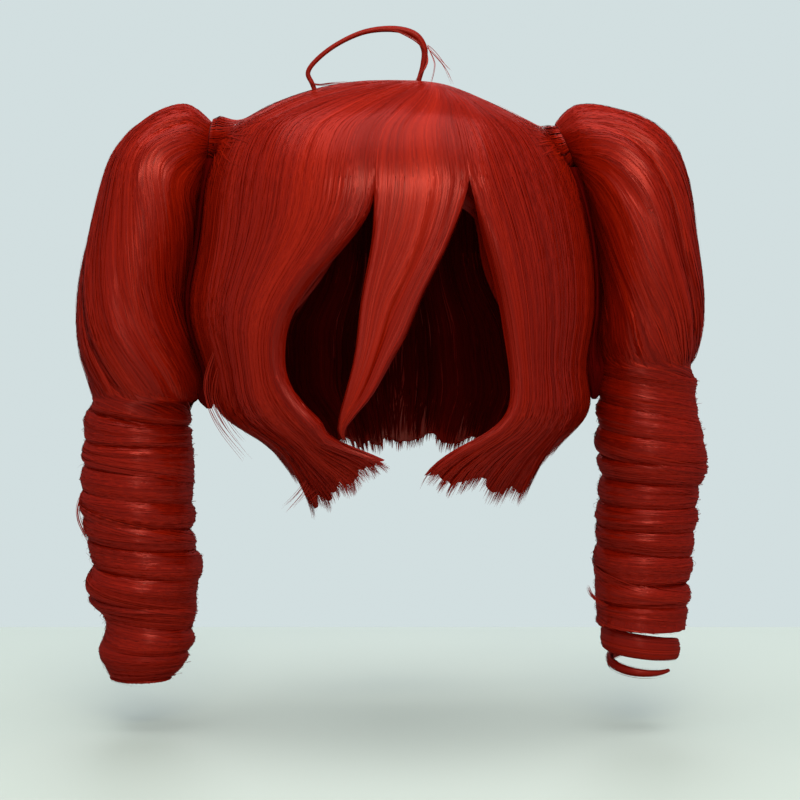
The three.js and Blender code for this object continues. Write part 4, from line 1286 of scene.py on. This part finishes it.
# Locks that cross the bands of a curl: turns from its top, and bands crossed from and to
CROSS_LOCKS = {
    "left": [(4.42, 0.5, 1.55), (7.4, 0.3, 1.2), (2.45, 0.35, 1.15)],
    "right": [(8.4, 0.6, 1.75), (3.4, 0.4, 1.3), (5.9, 0.3, 1.1)],
}


def make_wisps():
    """Stray hair of the bob and the curls, and the locks that cross the curls' bands."""
    piece = Piece("bob_wisps")
    lay_strays(piece, BOB_WISPS, 1.0, 4.0)
    piece.build(STRAND_RED)
    piece = Piece("curl_wisps")
    lay_strays(piece, CURL_WISPS, 0.8, 1.4)
    for side, locks in CROSS_LOCKS.items():
        for turns, first, last in locks:
            count, steps = 46, 20
            t = np.linspace(0, 1, steps)[None, :]
            theta = TURN * (turns + spread(-0.06, 0.06, (count, 1)) + 0.62 * t)
            across = mix(first, last, t) + spread(-0.2, 0.2, (count, 1))
            point = lambda p, q: curl_point(CURLS[side], p, q)
            lay_strands(piece, point, theta, across, -1, (0.7, 1.1), (0.4, 1.5), 0.4, root=0.2, tip=0.25)
    piece.build(STRAND_RED)


def make_loop():
    make_tube("hair_loop_core", loop_point, 80, 10, (4, 160), BASE_RED, ["hair_loop"])
    piece = Piece("hair_loop_strands")
    count = 90
    s = strand_lines(count, 44, (0.0, 0.12), (0.7, 1.0))
    a = spread(0, 1, (count, 1)) + drift(count, 44, 0.1)
    lay_strands(piece, loop_point, a, s, -1, (0.3, 0.5), (0.0, 0.35), 1.0, tip=0.2, raised=True)
    lay_strays(piece, LOOP_STRAYS, 0.3, 0.8)
    piece.build(STRAND_RED)


def make_gather(side):
    bunch = BUNCHES[side]
    point = lambda a, b: gather_point(bunch, a, b)
    # The gather takes a darker, duller red: painted shade in the pinch at a bunch's root.
    make_tube("gather_" + side + "_hair", point, 20, 72, (91, 14), GATHER_SHADE_RED,
              ["gather_" + side])
    piece = Piece("gather_" + side + "_strands")
    count = 90
    a = spread(0, 1, (count, 1)) + np.linspace(0, 0.45, 14)[None, :]
    b = spread(0.1, 0.9, (count, 1)) + np.linspace(0, 0.12, 14)[None, :]
    sign = 1 if side == "left" else -1
    lay_strands(piece, point, a, np.clip(b, 0, 1), sign, (0.7, 1.1), (0.1, 0.6))
    # The gather's strands take the same darker red: painted shade.
    piece.build(GATHER_SHADE_RED)


FAN_TURN = 0.75
FAN_ROWS = 1.9
FAN_STEPS = 20
FAN_COUNT = 260
# Rows between which the height of a bunch's root is looked up
FAN_ROW_RANGE = (2, 7)
FAN_ROW_STEPS = 60


def make_fan(side):
    """Hair of the bob that is drawn in round the root of a bunch and over its wrap."""
    bunch = BUNCHES[side]
    way = np.sign(bunch["root_x"])
    centre = gather_axes(bunch)[0]
    rows = np.linspace(*FAN_ROW_RANGE, FAN_ROW_STEPS)
    row = np.interp(-centre[2], -hair_reaches(rows)[4], rows)
    count = FAN_COUNT
    turn = spread(0, TURN, (count, 1))
    t = np.linspace(0, 1, FAN_STEPS)[None, :]
    out = spread(0.3, 0.8, (count, 1)) * np.clip(1 - t / 0.6, 0, 1) ** 1.2 + 0.22
    bend = turn + 0.5 * np.clip(0.6 - t, 0, 1) * spread(-1, 1, (count, 1))
    azimuth = way * (TURN / 4 + FAN_TURN * out * np.sin(bend)) % TURN
    place = row - FAN_ROWS * out * np.cos(bend)
    lift = bob_relief(azimuth, place) + 0.4 + spread(0, 0.5, (count, 1))
    skin = hair_skin(azimuth, place) + outward(azimuth, place) * lift[..., None]
    wrap = gather_point(bunch, bend / TURN, mix(0.35, 1.0, np.clip((t - 0.5) / 0.5, 0, 1)))
    axis = wrap.mean(axis=0)[None]
    away = unit(wrap - axis)
    wrap = wrap + away * spread(0.3, 1.6, (count, 1))[..., None]
    share = ease((t - 0.42) / 0.22)[..., None]
    points = mix(skin, wrap, share)
    for _ in range(3):
        points[:, 1:-1] = (points[:, :-2] + 2 * points[:, 1:-1] + points[:, 2:]) / 4
    normals = unit(mix(outward(azimuth, place), away, share))
    piece = Piece("fan_" + side + "_strands")
    widths = spread(0.6, 1.0, (count, 1)) * taper(FAN_STEPS, 0.25, 0.05)[None, :]
    tones = strand_tones(turn[:, 0] / TURN, count)
    piece.strands(points, normals, widths, tones, spread(-ROLL, ROLL, count))
    piece.build(STRAND_RED)


make_camera()
make_stage()
make_bob()
for side in ("left", "right"):
    make_bunch(side)
    make_curl(side)
    make_gather(side)
    make_fan(side)
    make_wrap(side)
    make_tuck(side)
make_curl_end()
make_loop()
make_wisps()
